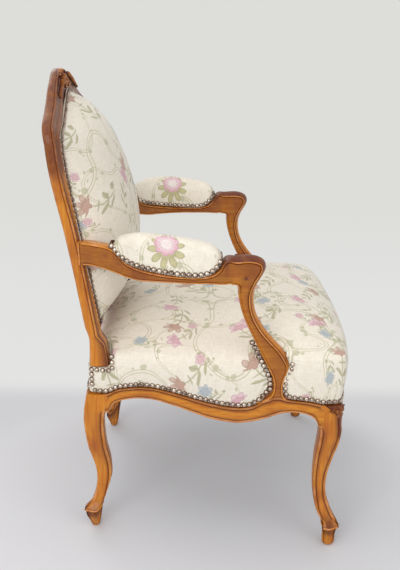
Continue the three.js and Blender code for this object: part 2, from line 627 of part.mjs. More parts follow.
function frontLeg() {
  const stations = FRONT_LEG_SHARES.map(([height, swing, half]) => {
    const x = FRONT_POST_X + FRONT_LEG_SPLAY * swing;
    const blend = clamp((height - BOW_BLEND_SHARE) / (1 - BOW_BLEND_SHARE), 0, 1);
    return {
      origin: new THREE.Vector3(
        x,
        FRONT_POST_Y - FRONT_LEG_SWING * swing - (frontBow(x) / 2) * blend,
        FRONT_LEG_TOP * height,
      ),
      across: X,
      up: Y,
      outline: cutRectangle(
        (FRONT_POST / 2) * half,
        (FRONT_POST / 2) * half + (frontBow(x) / 2) * blend,
      ),
    };
  });
  const head = block(
    around(FRONT_POST_X, FRONT_POST),
    [-HALF_DEPTH - FRONT_BOW, FRONT_POST_Y + FRONT_POST / 2],
    [FRONT_LEG_TOP - FIT, RAIL_TOP],
  ).intersect(seatPrism(REBATE, [FRONT_LEG_TOP - REBATE, RAIL_TOP]));
  const knee = ball(
    [FRONT_HALF_WIDTH - REBATE * 1.5, -HALF_DEPTH + REBATE * 1.5, FRONT_LEG_TOP - KNEE_FLOWER_HEIGHT / 2],
    [KNEE_FLOWER_RADIUS, KNEE_FLOWER_RADIUS, KNEE_FLOWER_HEIGHT / 2],
  );
  return bar(stations).add(head).add(knee);
}

// The space inside the fabric, as an upright block.
function seatPrism(inset, [low, high]) {
  const outline = SEAT_SQUARE.map(([p, q]) => seatPoint(p, q, inset, 0));
  const flat = outline.map((point) => [point.x, point.y]);
  const ring = (z) => outline.map((point) => new THREE.Vector3(point.x, point.y, z));
  return loft([ring(low), ring(high)], flat, flat);
}

// Back frame
const stileHeight = (share) => mix(STILE_FOOT, SHOULDER_HEIGHT, share);
const stileShare = (z) => clamp((z - STILE_FOOT) / (SHOULDER_HEIGHT - STILE_FOOT), 0, 1);

// Middle line of the back frame: its depth and its half width at a height.
function frameY(z) {
  const lean = Math.max(0, z - SHOULDER_HEIGHT) * CREST_LEAN_SHARE;
  return REAR_POST_Y + BACK_RAKE * read(STILE_SHARES, stileShare(z), 1) + lean;
}

function frameX(z) {
  return REAR_POST_X + SHOULDER_SPREAD * read(STILE_SHARES, stileShare(z), 2);
}

function stile(grow) {
  const last = STILE_SHARES.length - 1;
  return bar(
    STILE_SHARES.map(([height, , , foot], i) => {
      const end = (i === last) - (i === 0);
      const z = stileHeight(height) + grow * end;
      const depth = mix(STILE_DEPTH, STILE_FOOT_DEPTH, foot) / 2 + grow;
      return {
        origin: new THREE.Vector3(frameX(z), frameY(z), z),
        across: X,
        up: Y,
        outline: frameMoulding(STILE_WIDTH / 2 + grow, depth),
      };
    }),
  );
}

function rearLeg() {
  const stations = REAR_LEG_SHARES.map(([height, swing, half]) => ({
    origin: new THREE.Vector3(
      REAR_POST_X + REAR_LEG_SPLAY * swing,
      REAR_POST_Y + REAR_LEG_SWING * swing,
      REAR_LEG_TOP * height,
    ),
    across: X,
    up: Y,
    outline: cutRectangle((REAR_POST_WIDTH / 2) * half, (REAR_POST_DEPTH / 2) * half),
  }));
  return bar(stations).add(rearPost(0)).add(stile(0)).add(crestTenon(0));
}

// The square part of a rear leg, behind the fabric
function rearPost(grow) {
  const z = [REAR_LEG_TOP - FIT, STILE_FOOT + FIT];
  const post = grownBox(
    around(REAR_POST_X, REAR_POST_WIDTH),
    around(REAR_POST_Y, REAR_POST_DEPTH),
    z,
    grow,
  );
  return post.intersect(seatPrism(REBATE - grow, [z[0] - grow, z[1] + grow]));
}

const tenonMiddle = (z) => frameY(z) + BACK_REBATE_DEPTH / 2;

function crestTenon(grow) {
  return grownBox(
    around(SHOULDER_X, BACK_TENON_WIDTH),
    around(tenonMiddle(SHOULDER_HEIGHT), BACK_TENON_THICKNESS),
    [SHOULDER_HEIGHT - FIT, SHOULDER_HEIGHT + BACK_TENON_LENGTH],
    grow,
  );
}

const lowerRailHalf = frameX(LOWER_RAIL_HEIGHT) - STILE_WIDTH / 2 - FIT * 2;

function lowerRailTenon(grow) {
  return grownBox(
    [lowerRailHalf - FIT, lowerRailHalf + BACK_TENON_LENGTH],
    around(tenonMiddle(LOWER_RAIL_HEIGHT), BACK_TENON_THICKNESS),
    around(LOWER_RAIL_HEIGHT, BACK_TENON_WIDTH),
    grow,
  );
}

// The crest rail's middle line, its outward direction and its width, from the left shoulder to the right.
function crestPath() {
  const rows = bothHalves(CREST_SHARES);
  const points = rows.map(([along, rise]) => [
    SHOULDER_X * along,
    SHOULDER_HEIGHT + FIT + (CREST_RISE - FIT) * rise,
  ]);
  return rows.map(([along, , wide], i) => {
    const [x, z] = points[i];
    const out = new THREE.Vector3(along, 0, 0);
    if (i > 0 && i < points.length - 1) {
      const [before, after] = [points[i - 1], points[i + 1]];
      out.set(after[1] - before[1], 0, before[0] - after[0]).normalize();
    }
    return { x, z, out, width: mix(STILE_WIDTH, CREST_WIDTH, wide) };
  });
}

function crestFlower() {
  const z = SHOULDER_HEIGHT + CREST_RISE + BACK_REBATE_WIDTH / 2;
  const y = frameY(z) - STILE_DEPTH / 2;
  const ring = (CREST_WIDTH - BACK_REBATE_WIDTH) / 2 - PETAL_RADIUS;
  const petals = Array.from({ length: PETAL_COUNT }, (_, i) => {
    const angle = Math.PI / 2 + (Math.PI * 2 * i) / PETAL_COUNT;
    const [x, up] = [ring * Math.cos(angle), ring * Math.sin(angle)];
    return ball([x, y, z + up], [PETAL_RADIUS, (FLOWER_RELIEF * 2) / 3, PETAL_RADIUS]);
  });
  const leaves = [-1, 1].map((side) =>
    ball(
      [side * (ring + LEAF_LENGTH / 2), y, z - PETAL_RADIUS / 2],
      [LEAF_LENGTH / 2, FLOWER_RELIEF / 2, PETAL_RADIUS],
    ),
  );
  const heart = ball([0, y, z], [PETAL_RADIUS, FLOWER_RELIEF, PETAL_RADIUS]);
  return [...petals, ...leaves].reduce((sum, one) => sum.add(one), heart);
}

function crestRail() {
  const stations = crestPath().map(({ x, z, out, width }) => ({
    origin: new THREE.Vector3(x, frameY(z), z),
    across: new THREE.Vector3(out.x, out.z * CREST_LEAN_SHARE, out.z),
    up: Y,
    outline: frameMoulding(width / 2, STILE_DEPTH / 2),
  }));
  return bar(stations).add(crestFlower());
}

function lowerRailMiddle(along) {
  return LOWER_RAIL_HEIGHT - LOWER_RAIL_DROP * read(LOWER_RAIL_SHARES, Math.abs(along), 1);
}

function lowerRail() {
  const rows = bothHalves(LOWER_RAIL_SHARES).map(([along, , wide]) => {
    const outline = frameMoulding((LOWER_RAIL_WIDTH / 2) * wide, STILE_DEPTH / 2);
    const ring = outline.map(([u, v]) => {
      const z = lowerRailMiddle(along) - u;
      return new THREE.Vector3(lowerRailHalf * along, frameY(z) + v, z);
    });
    return { outline, ring };
  });
  const body = loft(rows.map((row) => row.ring), rows[0].outline, rows.at(-1).outline);
  const tenon = lowerRailTenon(0);
  return body.add(tenon).add(tenon.mirror([1, 0, 0]));
}

const crestPeg = (grow) =>
  peg(
    SHOULDER_X,
    frameY(SHOULDER_HEIGHT) + STILE_DEPTH / 2,
    SHOULDER_HEIGHT + BACK_TENON_LENGTH / 2,
    inY,
    grow,
  );

// Arms
const armFaceY = (z) => frameY(z) - STILE_DEPTH / 2 - FIT;
const armLevel = (share) => mix(ARM_UNDERSIDE, ARM_HEIGHT, share);
const armTop = (along) => armLevel(read(ARM_SHARES, along, 2));
const armX = (along) => mix(ARM_REAR_X, ARM_FRONT_X, read(ARM_SHARES, along, 4));

// A point of an arm: its place along the arm, off its middle line and its height.
function armPoint(along, off, z) {
  return new THREE.Vector3(armX(along) + off, mix(armFaceY(z), ARM_FRONT_Y, along), z);
}

function arm() {
  const rows = ARM_SHARES.map(([along, low, high, wide]) => {
    const [bottom, top] = [armLevel(low), armLevel(high)];
    const outline = cutRectangle(mix(ARM_REAR_WIDTH, ARM_WIDTH, wide) / 2, (top - bottom) / 2);
    const ring = outline.map(([u, v]) => armPoint(along, u, (bottom + top) / 2 + v));
    return { outline, ring };
  });
  const body = loft(rows.map((row) => row.ring), rows[0].outline, rows.at(-1).outline);
  return body.add(armTenon(0));
}

const armRootZ = armLevel((ARM_SHARES[0][1] + ARM_SHARES[0][2]) / 2);

function armTenon(grow) {
  return grownBox(
    around(ARM_REAR_X, BACK_TENON_THICKNESS),
    [armFaceY(armRootZ) - ARM_TENON_LENGTH, armFaceY(armRootZ) + ARM_TENON_LENGTH],
    around(armRootZ, ARM_TENON_HEIGHT),
    grow,
  );
}

const armPeg = (grow) =>
  peg(
    ARM_FRONT_X + ARM_WIDTH / 2,
    supportHeadY,
    ARM_UNDERSIDE + SUPPORT_TENON_LENGTH / 2,
    inX,
    grow,
  );

function sideRail() {
  const stations = SIDE_RAIL_SHARES.map(([along, low, lip]) => {
    const y = mix(RAIL_REAR_Y, RAIL_FRONT_Y, along);
    return {
      origin: new THREE.Vector3(halfWidthAt(y), y, 0),
      across: X,
      up: Z,
      outline: railSection(apronHeight(low), lipHeight(lip), RAIL_THICKNESS),
    };
  });
  return bar(stations)
    .add(ear(0))
    .add(sideRailTenons(0))
    .subtract(supportTenons(FIT))
    .subtract(frontPeg(FIT))
    .subtract(rearPeg(FIT));
}

function frontRail() {
  const stations = bothHalves(FRONT_RAIL_SHARES).map(([along, low, lip]) => {
    const bow = frontBow(FRONT_RAIL_HALF * along);
    return {
      origin: new THREE.Vector3(FRONT_RAIL_HALF * along, -HALF_DEPTH - bow, 0),
      across: Y.clone().negate(),
      up: Z,
      outline: railSection(apronHeight(low), lipHeight(lip), RAIL_THICKNESS + bow),
    };
  });
  const tenon = frontRailTenon(0);
  return bar(stations).add(tenon).add(tenon.mirror([1, 0, 0]));
}

function rearRail() {
  const stations = [-1, 1].map((side) => ({
    origin: new THREE.Vector3(REAR_RAIL_HALF * side, HALF_DEPTH, 0),
    across: Y,
    up: Z,
    outline: railSection(REAR_APRON_LOW, REAR_LIP, RAIL_THICKNESS),
  }));
  const tenon = rearRailTenon(0);
  return bar(stations).add(tenon).add(tenon.mirror([1, 0, 0]));
}

// Corner block between two rails, notched round the leg's post.
function cornerBlock(insideX, side) {
  const insideY = side * (HALF_DEPTH - RAIL_THICKNESS - FIT);
  const [postX, postY, post] =
    side < 0
      ? [FRONT_POST_X, FRONT_POST_Y, FRONT_POST]
      : [REAR_POST_X, REAR_POST_Y, Math.max(REAR_POST_WIDTH, REAR_POST_DEPTH)];
  const railEnd = side < 0 ? RAIL_FRONT_Y : RAIL_REAR_Y;
  const far = insideY - side * CORNER_BLOCK_REACH;
  const outline = [
    [insideX(insideY), insideY],
    [insideX(railEnd), railEnd],
    [insideX(far), far],
    [insideX(insideY) - CORNER_BLOCK_REACH, insideY],
  ];
  const top = RAIL_TOP - CORNER_BLOCK_DROP;
  const ring = (z) => outline.map(([x, y]) => new THREE.Vector3(x, y, z));
  const notch = grownBox(around(postX, post), around(postY, post), [WEB_LEVEL, RAIL_TOP], FIT);
  return loft([ring(top - CORNER_BLOCK_HEIGHT), ring(top)], outline, outline).subtract(notch);
}

const railInsideX = (y) => halfWidthAt(y) - RAIL_THICKNESS - FIT;

// Layers of the back: distance in front of the rebate's floor
const webFront = FIT + WEB_THICKNESS;
const hessianRear = webFront + FIT;
const hessianFront = hessianRear + LINING;
const stuffingRear = hessianFront + FIT;
const sheetInset = FABRIC + FIT * 5; // clears the cover where it rises from the rebate
const backFloorY = (z) => frameY(z) - STILE_DEPTH / 2 + BACK_REBATE_DEPTH;

const sideEdge = (z) => [frameX(z) - STILE_WIDTH / 2 + BACK_REBATE_WIDTH - FIT, z];

// The rebate's outline, seen from the front and anticlockwise from the lower rail's middle
function rebateOutline() {
  const lower = LOWER_RAIL_SHARES.map(([along, , wide]) => [
    lowerRailHalf * along,
    lowerRailMiddle(along) + (LOWER_RAIL_WIDTH * wide) / 2 - BACK_REBATE_WIDTH + FIT,
  ]);
  const side = STILE_SHARES.map(([height]) => stileHeight(height))
    .filter((z) => z > LOWER_RAIL_HEIGHT + LOWER_RAIL_WIDTH / 2)
    .map(sideEdge);
  const corner = sideEdge(lower.at(-1)[1]);
  const top = crestPath()
    .filter(({ x, z }) => x > -FIT && z > SHOULDER_HEIGHT + FIT * 2)
    .map(({ x, z, out, width }) => {
      const reach = width / 2 - BACK_REBATE_WIDTH + FIT;
      return [x - out.x * reach, z - out.z * reach];
    });
  const half = [...lower, corner, ...side, ...top];
  const other = half.slice(1, -1).toReversed().map(([x, z]) => [-x, z]);
  return [...half, ...other];
}

const REBATE_OUTLINE = rebateOutline();
const backHeights = REBATE_OUTLINE.map(([, z]) => z);
const backMiddleZ = (Math.min(...backHeights) + Math.max(...backHeights)) / 2;

// A ring of the back: drawn in by an inset, scaled about the middle, and in front of the rebate's floor.
function backRing(inset, scale, front) {
  return REBATE_OUTLINE.map(([x, z]) => {
    const reach = new THREE.Vector2(x, z - backMiddleZ);
    reach.setLength(reach.length() - inset).multiplyScalar(scale);
    const height = backMiddleZ + reach.y;
    return new THREE.Vector3(reach.x, backFloorY(height) - front, height);
  });
}

const backTip = (front) => new THREE.Vector3(0, backFloorY(backMiddleZ) - front, backMiddleZ);

function backDome(inset, depth) {
  return BACK_PROFILE_SHARES.map(([scale, rise]) => backRing(inset, scale, mix(FIT, depth, rise)));
}

function backSheet(inset, front) {
  return BACK_BASE_SHARES.map((scale) => backRing(inset, scale, front));
}

function backCover() {
  return shell(
    backDome(0, BACK_BULGE),
    backTip(BACK_BULGE),
    backDome(FABRIC, BACK_BULGE - FABRIC),
    backTip(BACK_BULGE - FABRIC),
  );
}

// The stuffing starts on the dome's second ring, where the dome clears the hessian.
function backStuffing() {
  const inset = FABRIC + FIT;
  const [, ...dome] = backDome(inset, BACK_BULGE - inset);
  const [, ...sheet] = backSheet(inset, stuffingRear);
  const rim = backRing(inset, BACK_PROFILE_SHARES[1][0], stuffingRear);
  return shell(dome, backTip(BACK_BULGE - inset), [rim, ...sheet], backTip(stuffingRear));
}

function backPanel(inset, front, rear) {
  return shell(backSheet(inset, front), backTip(front), backSheet(inset, rear), backTip(rear));
}

function backWeb(x) {
  const reach = [-SHOULDER_HEIGHT, SHOULDER_HEIGHT * 2];
  const strip = block(around(x, WEB_WIDTH), reach, reach);
  return backPanel(sheetInset, webFront, FIT).intersect(strip);
}

// Arm pad, drawn in by an inset, with its underside above or below the arm's top.
function armPad(inset, base) {
  const [first, last] = [ARM_PAD_SHARES[0][0], ARM_PAD_SHARES.at(-1)[0]];
  const length = armFaceY(armTop(first)) - ARM_FRONT_Y;
  const draw = inset / length;
  const rings = ARM_PAD_SHARES.map(([along, high, wide]) => {
    const place = mix(first + draw, last - draw, (along - first) / (last - first));
    const bottom = armTop(place);
    const top = mix(ARM_HEIGHT, ARM_PAD_TOP, high) - inset;
    const half = (ARM_PAD_WIDTH * wide) / 2 - inset;
    return PAD_SECTION_SHARES.map(([u, v]) =>
      armPoint(place, half * u, v > 0 ? mix(bottom + FIT, top, v) : bottom + base),
    );
  });
  return loft(rings, PAD_SECTION_SHARES, PAD_SECTION_SHARES);
}

// Seat springs: one unbroken tube, wide at both ends and drawn in at the waist
const springLow = WEB_TOP + FIT + SPRING_WIRE / 2;
const springHigh = SPRING_TOP - FIT - SPRING_WIRE / 2;

function springPoint(turn) {
  const share = turn / SPRING_TURNS;
  const radius = mix(SPRING_WAIST, SPRING_RADIUS, Math.abs(share * 2 - 1));
  const angle = Math.PI * 2 * turn;
  return new THREE.Vector3(
    radius * Math.cos(angle),
    radius * Math.sin(angle),
    mix(springLow, springHigh, share),
  );
}

const springPoints = Array.from({ length: SPRING_TURNS * TURN_STEPS + 1 }, (_, i) =>
  springPoint(i / TURN_STEPS),
);

function springGap() {
  const half = TURN_STEPS / 2;
  const gaps = springPoints.flatMap((a, i) =>
    springPoints.slice(i + half).map((b) => a.distanceTo(b) - SPRING_WIRE),
  );
  return Math.min(...gaps);
}

console.log(`least gap of a seat spring to itself: ${springGap().toFixed(1)} mm`);

function spring(x, y) {
  const stations = springPoints.map((point, i) => {
    const out = new THREE.Vector3(point.x, point.y, 0).normalize();
    return {
      origin: new THREE.Vector3(point.x + x, point.y + y, point.z),
      across: out,
      up: Z,
      outline: Array.from({ length: WIRE_SIDES }, (_, k) => {
        const angle = (Math.PI * 2 * k) / WIRE_SIDES;
        const radius = SPRING_WIRE / 2;
        return [radius * Math.cos(angle), radius * Math.sin(angle)];
      }),
    };
  });
  return bar(stations);
}

// Frame
const bothMirrored = (made) => made.add(made.mirror([1, 0, 0]));
const backJoints = (grow) => bothMirrored(crestTenon(grow)).add(bothMirrored(crestPeg(grow)));

place("front_seat_rail", frontRail(), wood);
place("rear_seat_rail", rearRail(), wood);
placePair("side_seat_rail", sideRail(), wood);
placePair(
  "front_leg",
  frontLeg().subtract(sideRailTenons(FIT)).subtract(frontRailTenon(FIT)).subtract(frontPeg(FIT)),
  wood,
);
placePair(
  "rear_leg",
  rearLeg()
    .subtract(sideRailTenons(FIT))
    .subtract(rearRailTenon(FIT))
    .subtract(lowerRailTenon(FIT))
    .subtract(armTenon(FIT))
    .subtract(rearPeg(FIT))
    .subtract(crestPeg(FIT)),
  wood,
);
place("crest_rail", crestRail().subtract(backJoints(FIT)), wood);
place("lower_back_rail", lowerRail(), wood);
placePair("arm", arm().subtract(supportTenons(FIT)).subtract(armPeg(FIT)), wood);
placePair("arm_support", armSupport(0).add(supportTenons(0)).subtract(armPeg(FIT)), wood);
placePair("front_corner_block", cornerBlock(railInsideX, -1), hiddenWood);
placePair("rear_corner_block", cornerBlock(railInsideX, 1), hiddenWood);
placePair("front_rail_peg", frontPeg(0), wood);
placePair("rear_rail_peg", rearPeg(0), wood);
placePair("arm_peg", armPeg(0), wood);
placePair("crest_peg", crestPeg(0), wood);

// Seat
const seatCutters = bothMirrored(
  rearPost(FIT).add(stile(FIT)).add(armSupport(FIT)).add(ear(FIT)),
);
const seatInset = FABRIC + FIT;
place(
  "seat_cover",
  shell(seatRings(0), seatTip(0), seatRings(FABRIC), seatTip(FABRIC)).subtract(seatCutters),
  silk,
);
const stuffingBase = LINING + FIT;
const railLevel = RAIL_TOP + FIT + stuffingBase;
const stuffing = shell(
  seatRings(seatInset),
  seatTip(seatInset),
  seatBaseRings(HEM_SET + seatInset, stuffingBase),
  seatBaseTip(stuffingBase),
);
const belowRails = seatPrism(-OVERRUN, [LIP_LOW - OVERRUN, railLevel]);
place("seat_stuffing", stuffing.subtract(belowRails).subtract(seatCutters), horsehair);
place(
  "seat_hessian",
  shell(
    seatBaseRings(HESSIAN_SET, LINING),
    seatBaseTip(LINING),
    seatBaseRings(HESSIAN_SET, 0),
    seatBaseTip(0),
  ).subtract(seatCutters),
  hessian,
);

const webSpan = (count, pitch, i) => around((i - (count - 1) / 2) * pitch, WEB_WIDTH);
const [upperWeb, lowerWeb] = [WEB_TOP, WEB_TOP - WEB_THICKNESS - FIT];
for (let i = 0; i < WEB_COUNT; i++) {
  const prism = (top) => seatPrism(UNDERSIDE_SET, [top - WEB_THICKNESS, top]);
  const x = webSpan(WEB_COUNT, WEB_PITCH_X, i);
  const y = webSpan(WEB_COUNT, WEB_PITCH_Y, i);
  const reach = [-FRONT_HALF_WIDTH, FRONT_HALF_WIDTH];
  const lengthwise = block(x, reach, [WEB_LEVEL - OVERRUN, WEB_LEVEL]);
  const crosswise = block(reach, y, [WEB_LEVEL - OVERRUN, WEB_LEVEL]);
  place(`seat_web_lengthwise_${i + 1}`, lengthwise.intersect(prism(upperWeb)), hessian);
  place(`seat_web_crosswise_${i + 1}`, crosswise.intersect(prism(lowerWeb)), hessian);
}

const springPlaces = [
  [0, 0],
  [-WEB_PITCH_X, -WEB_PITCH_Y],
  [WEB_PITCH_X, -WEB_PITCH_Y],
  [-WEB_PITCH_X, WEB_PITCH_Y],
  [WEB_PITCH_X, WEB_PITCH_Y],
];
springPlaces.forEach(([x, y], i) => place(`seat_spring_${i + 1}`, spring(x, y), steel));

const dustTop = lowerWeb - WEB_THICKNESS - FIT;
const legPosts = bothMirrored(
  grownBox(
    around(FRONT_POST_X, FRONT_POST),
    around(FRONT_POST_Y - FRONT_BOW / 2, FRONT_POST + FRONT_BOW),
    around(WEB_LEVEL, OVERRUN),
    FIT * 2,
  ).add(
    grownBox(
      around(REAR_POST_X, REAR_POST_WIDTH),
      around(REAR_POST_Y, REAR_POST_DEPTH),
      around(WEB_LEVEL, OVERRUN),
      FIT * 2,
    ),
  ),
);
place("dust_cover", seatPrism(UNDERSIDE_SET, [dustTop - LINING, dustTop]).subtract(legPosts), blackCloth);

// Back
place("back_cover_front", backCover(), silk);
place("back_stuffing", backStuffing(), horsehair);
place("back_hessian", backPanel(sheetInset, hessianFront, hessianRear), hessian);
for (let i = 0; i < BACK_WEB_COUNT; i++) {
  const x = (i - (BACK_WEB_COUNT - 1) / 2) * BACK_WEB_PITCH;
  place(`back_web_${i + 1}`, backWeb(x), hessian);
}
const rearFace = BACK_REBATE_DEPTH - STILE_DEPTH - FIT * 2;
place("back_cover_rear", backPanel(0, rearFace, rearFace - FABRIC), silk);

// Arm pads
placePair("arm_cover", armPad(0, FIT).subtract(armPad(FABRIC, -OVERRUN)), silk);
placePair("arm_stuffing", armPad(FABRIC + FIT, FIT), horsehair);

// The origin is under the middle of the chair, on the floor.
const bounds = new THREE.Box3().setFromObject(chair);
chair.position.y = -(bounds.min.y + bounds.max.y) / 2;

export default chair;
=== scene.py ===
"""An open armchair with a carved frame and a sprung seat, dressed around its CAD model.

The sizes are in millimetres and repeat those of the CAD source. Every mesh is brought to metres, and to the
frame's own place, when it is finished.
"""

import logging
import math
from collections.abc import Callable, Iterable, Sequence
from dataclasses import dataclass
from enum import Enum

import bmesh
import bpy
from bmesh.types import BMEdge, BMVert
from bpy.types import Material, Node, NodeSocket, NodeTree, Object
from mathutils import Matrix, Vector, noise


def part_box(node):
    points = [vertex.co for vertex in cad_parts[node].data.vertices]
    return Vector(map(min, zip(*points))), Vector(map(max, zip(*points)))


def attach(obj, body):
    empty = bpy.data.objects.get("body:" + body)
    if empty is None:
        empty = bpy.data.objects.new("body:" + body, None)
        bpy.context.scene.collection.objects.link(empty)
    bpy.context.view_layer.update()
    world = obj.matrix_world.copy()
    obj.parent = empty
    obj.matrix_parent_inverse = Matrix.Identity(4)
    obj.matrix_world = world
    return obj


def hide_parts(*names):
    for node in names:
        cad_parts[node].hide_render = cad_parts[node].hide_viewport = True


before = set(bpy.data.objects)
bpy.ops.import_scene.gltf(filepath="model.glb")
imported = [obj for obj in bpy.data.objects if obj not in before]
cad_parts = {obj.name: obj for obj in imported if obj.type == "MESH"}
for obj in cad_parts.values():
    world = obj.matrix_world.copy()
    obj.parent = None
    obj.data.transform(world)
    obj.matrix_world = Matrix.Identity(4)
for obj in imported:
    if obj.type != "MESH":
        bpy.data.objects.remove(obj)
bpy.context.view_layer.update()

log = logging.getLogger("armchair")

Table = Sequence[Sequence[float]]
Mark = tuple[Vector, float, float]
Ring = list[Mark]
Path = list[tuple[Vector, Vector]]
Station = tuple[float, float, float, float]
Ends = tuple[tuple[float, float], tuple[float, float]]
Surface = Callable[[float, float, float], Vector]
Placing = Callable[[float, float], tuple[float, float]]

MM = 0.001
BODY = "root"
SHOW_WOOD, COVER = "show_wood", "cover_cloth"
SWELL_FRAMES = 20
STIFFNESS = 15.0


def mix(low: float, high: float, share: float) -> float:
    """The value at a share of the way from low to high."""
    return low + (high - low) * share


def clamp(value: float, low: float = 0.0, high: float = 1.0) -> float:
    """The value, kept between low and high."""
    return max(low, min(high, value))


def ease(share: float) -> float:
    """A share from 0 to 1 with a soft start and end."""
    share = clamp(share)
    return share * share * (3.0 - 2.0 * share)


def read(rows: Table, at: float, column: int) -> float:
    """A column of a table on a smooth curve through its rows.

    Args:
        rows: Rows in the order of their first column.
        at: Place along the first column.
        column: Column to read.

    Returns:
        The column's value there.
    """
    last = len(rows) - 1
    at = clamp(at, rows[0][0], rows[last][0])
    k = max(i for i in range(last) if rows[i][0] <= at)

    def slope(i: int) -> float:
        """Slope of the curve at a row."""
        before, after = rows[max(i - 1, 0)], rows[min(i + 1, last)]
        return (after[column] - before[column]) / (after[0] - before[0])

    span = rows[k + 1][0] - rows[k][0]
    t = (at - rows[k][0]) / span
    start, end = rows[k][column], rows[k + 1][column]
    return (
        (2 * t**3 - 3 * t**2 + 1) * start
        + (t**3 - 2 * t**2 + t) * span * slope(k)
        + (3 * t**2 - 2 * t**3) * end
        + (t**3 - t**2) * span * slope(k + 1)
    )


def steps(count: int, start: float = 0.0, end: float = 1.0) -> list[float]:
    """Evenly spaced values from start to end, both included."""
    return [mix(start, end, i / (count - 1)) for i in range(count)]


# Shapes as shares of the driving sizes, as in the CAD source
SIDE_RAIL_SHARES = (
    (0, 0.03, 0.35), (0.018, 0.48, 0.48), (0.054, 0.75, 0.74), (0.109, 0.93, 0.9), (0.157, 1, 1),
    (0.221, 0.98, 0.98), (0.274, 0.85, 0.87), (0.356, 0.6, 0.61), (0.429, 0.33, 0.35),
    (0.493, 0.13, 0.16), (0.557, 0.03, 0.03), (0.621, 0, 0), (0.683, 0.13, 0.16),
    (0.745, 0.35, 0.68), (0.806, 0.65, 1), (0.85, 0.8, 0.85), (0.9, 0.83, 0.8),
    (0.946, 0.75, 0.77), (0.982, 0.5, 0.71), (1, 0.08, 0.65),
)
FRONT_RAIL_SHARES = (
    (0, 0.05, 0.03), (0.22, 0.12, 0.1), (0.45, 0.5, 0.4), (0.65, 0.85, 0.75), (0.8, 0.97, 0.88),
    (0.92, 0.8, 0.78), (1, 0.08, 0.65),
)
FRONT_LEG_SHARES = (
    (0.118, 0.93, 0.82), (0.15, 0.78, 0.87), (0.183, 0.58, 0.8), (0.257, 0, 0.7), (0.34, -0.73, 0.6),
    (0.434, -1.03, 0.62), (0.531, -0.93, 0.69), (0.64, -0.53, 0.81), (0.737, 0, 0.9),
    (0.829, 0.13, 0.94), (1, 0, 1),
)
REAR_LEG_SHARES = (
    (0.125, 0.97, 0.93), (0.155, 0.85, 0.9), (0.19, 0.47, 0.75), (0.285, -0.07, 0.66),
    (0.388, -0.3, 0.71), (0.503, -0.17, 0.8), (0.642, 0.3, 0.88), (0.794, 0.57, 0.94),
    (0.89, 0.4, 1), (1, 0, 1),
)
STILE_SHARES = (
    (0, -0.036, 0, 1), (0.05, -0.014, -0.04, 0.6), (0.11, 0.026, -0.12, 0.15), (0.17, 0.07, -0.18, 0),
    (0.24, 0.15, -0.25, 0), (0.32, 0.24, -0.3, 0), (0.45, 0.386, -0.32, 0), (0.54, 0.493, -0.2, 0),
    (0.646, 0.62, 0.02, 0), (0.765, 0.783, 0.4, 0), (0.874, 0.914, 0.75, 0), (0.962, 0.983, 0.97, 0),
    (1, 1, 1, 0),
)
CREST_SHARES = (
    (0, 1, 1), (0.116, 0.958, 0.95), (0.241, 0.854, 0.85), (0.383, 0.729, 0.65), (0.54, 0.562, 0.35),
    (0.761, 0.359, 0.1), (0.86, 0.286, 0), (0.943, 0.21, 0), (0.969, 0.172, 0), (0.988, 0.115, 0),
    (0.998, 0.062, 0), (1, 0, 0),
)
ARM_SHARES = (
    (0, 0.3, 1.13, 0, 0), (0.07, 0.24, 1.05, 0, 0.08), (0.13, 0.2, 1.02, 0.1, 0.2),
    (0.158, 0.19, 0.8, 0.3, 0.27), (0.19, 0.18, 0.62, 0.5, 0.36), (0.24, 0.17, 0.5, 0.7, 0.5),
    (0.32, 0.16, 0.42, 0.9, 0.7), (0.43, 0.12, 0.36, 1, 0.88), (0.54, 0.08, 0.3, 1, 0.98),
    (0.65, 0.06, 0.3, 1, 1.02), (0.72, 0.05, 0.38, 1, 1.03), (0.76, 0.04, 0.56, 1, 1.03),
    (0.785, 0.03, 0.93, 0.95, 1.02), (0.84, 0, 0.98, 0.9, 1.01), (0.9, 0, 1, 0.92, 1),
    (0.95, 0.02, 0.98, 0.9, 0.99), (0.98, 0.25, 0.88, 0.75, 0.99), (1, 0.55, 0.75, 0.5, 0.98),
)
SUPPORT_SHARES = (
    (0, 0, 0.66, 0), (0.05, 0, 0.85, 0.1), (0.13, -0.04, 1.45, 0.35), (0.2, 0, 1.72, 0.6),
    (0.28, 0.12, 1.7, 0.8), (0.36, 0.25, 1.55, 0.95), (0.45, 0.42, 1.4, 1), (0.55, 0.59, 1.12, 0.95),
    (0.65, 0.76, 1, 0.8), (0.76, 0.87, 1, 0.55), (0.87, 0.91, 1.08, 0.35), (0.95, 0.9, 1.2, 0.25),
    (1, 0.87, 1.4, 0.2),
)
SEAT_BASE_SHARES = ((0, 1), (0.56, 1), (0.72, 0.85), (0.87, 0), (1, 0))
LOWER_RAIL_SHARES = ((0, 1, 1.1), (0.14, 0.85, 1), (0.32, 0.3, 0.92), (0.6, 0, 0.92), (1, 0.1, 1))
ARM_PAD_SHARES = (
    (0.165, -0.1, 0.45), (0.18, 0.2, 0.62), (0.214, 0.6, 0.82), (0.27, 0.83, 0.95), (0.325, 0.97, 1),
    (0.437, 1, 1), (0.55, 0.91, 1), (0.66, 0.71, 1), (0.73, 0.49, 0.88), (0.764, 0.14, 0.6),
)


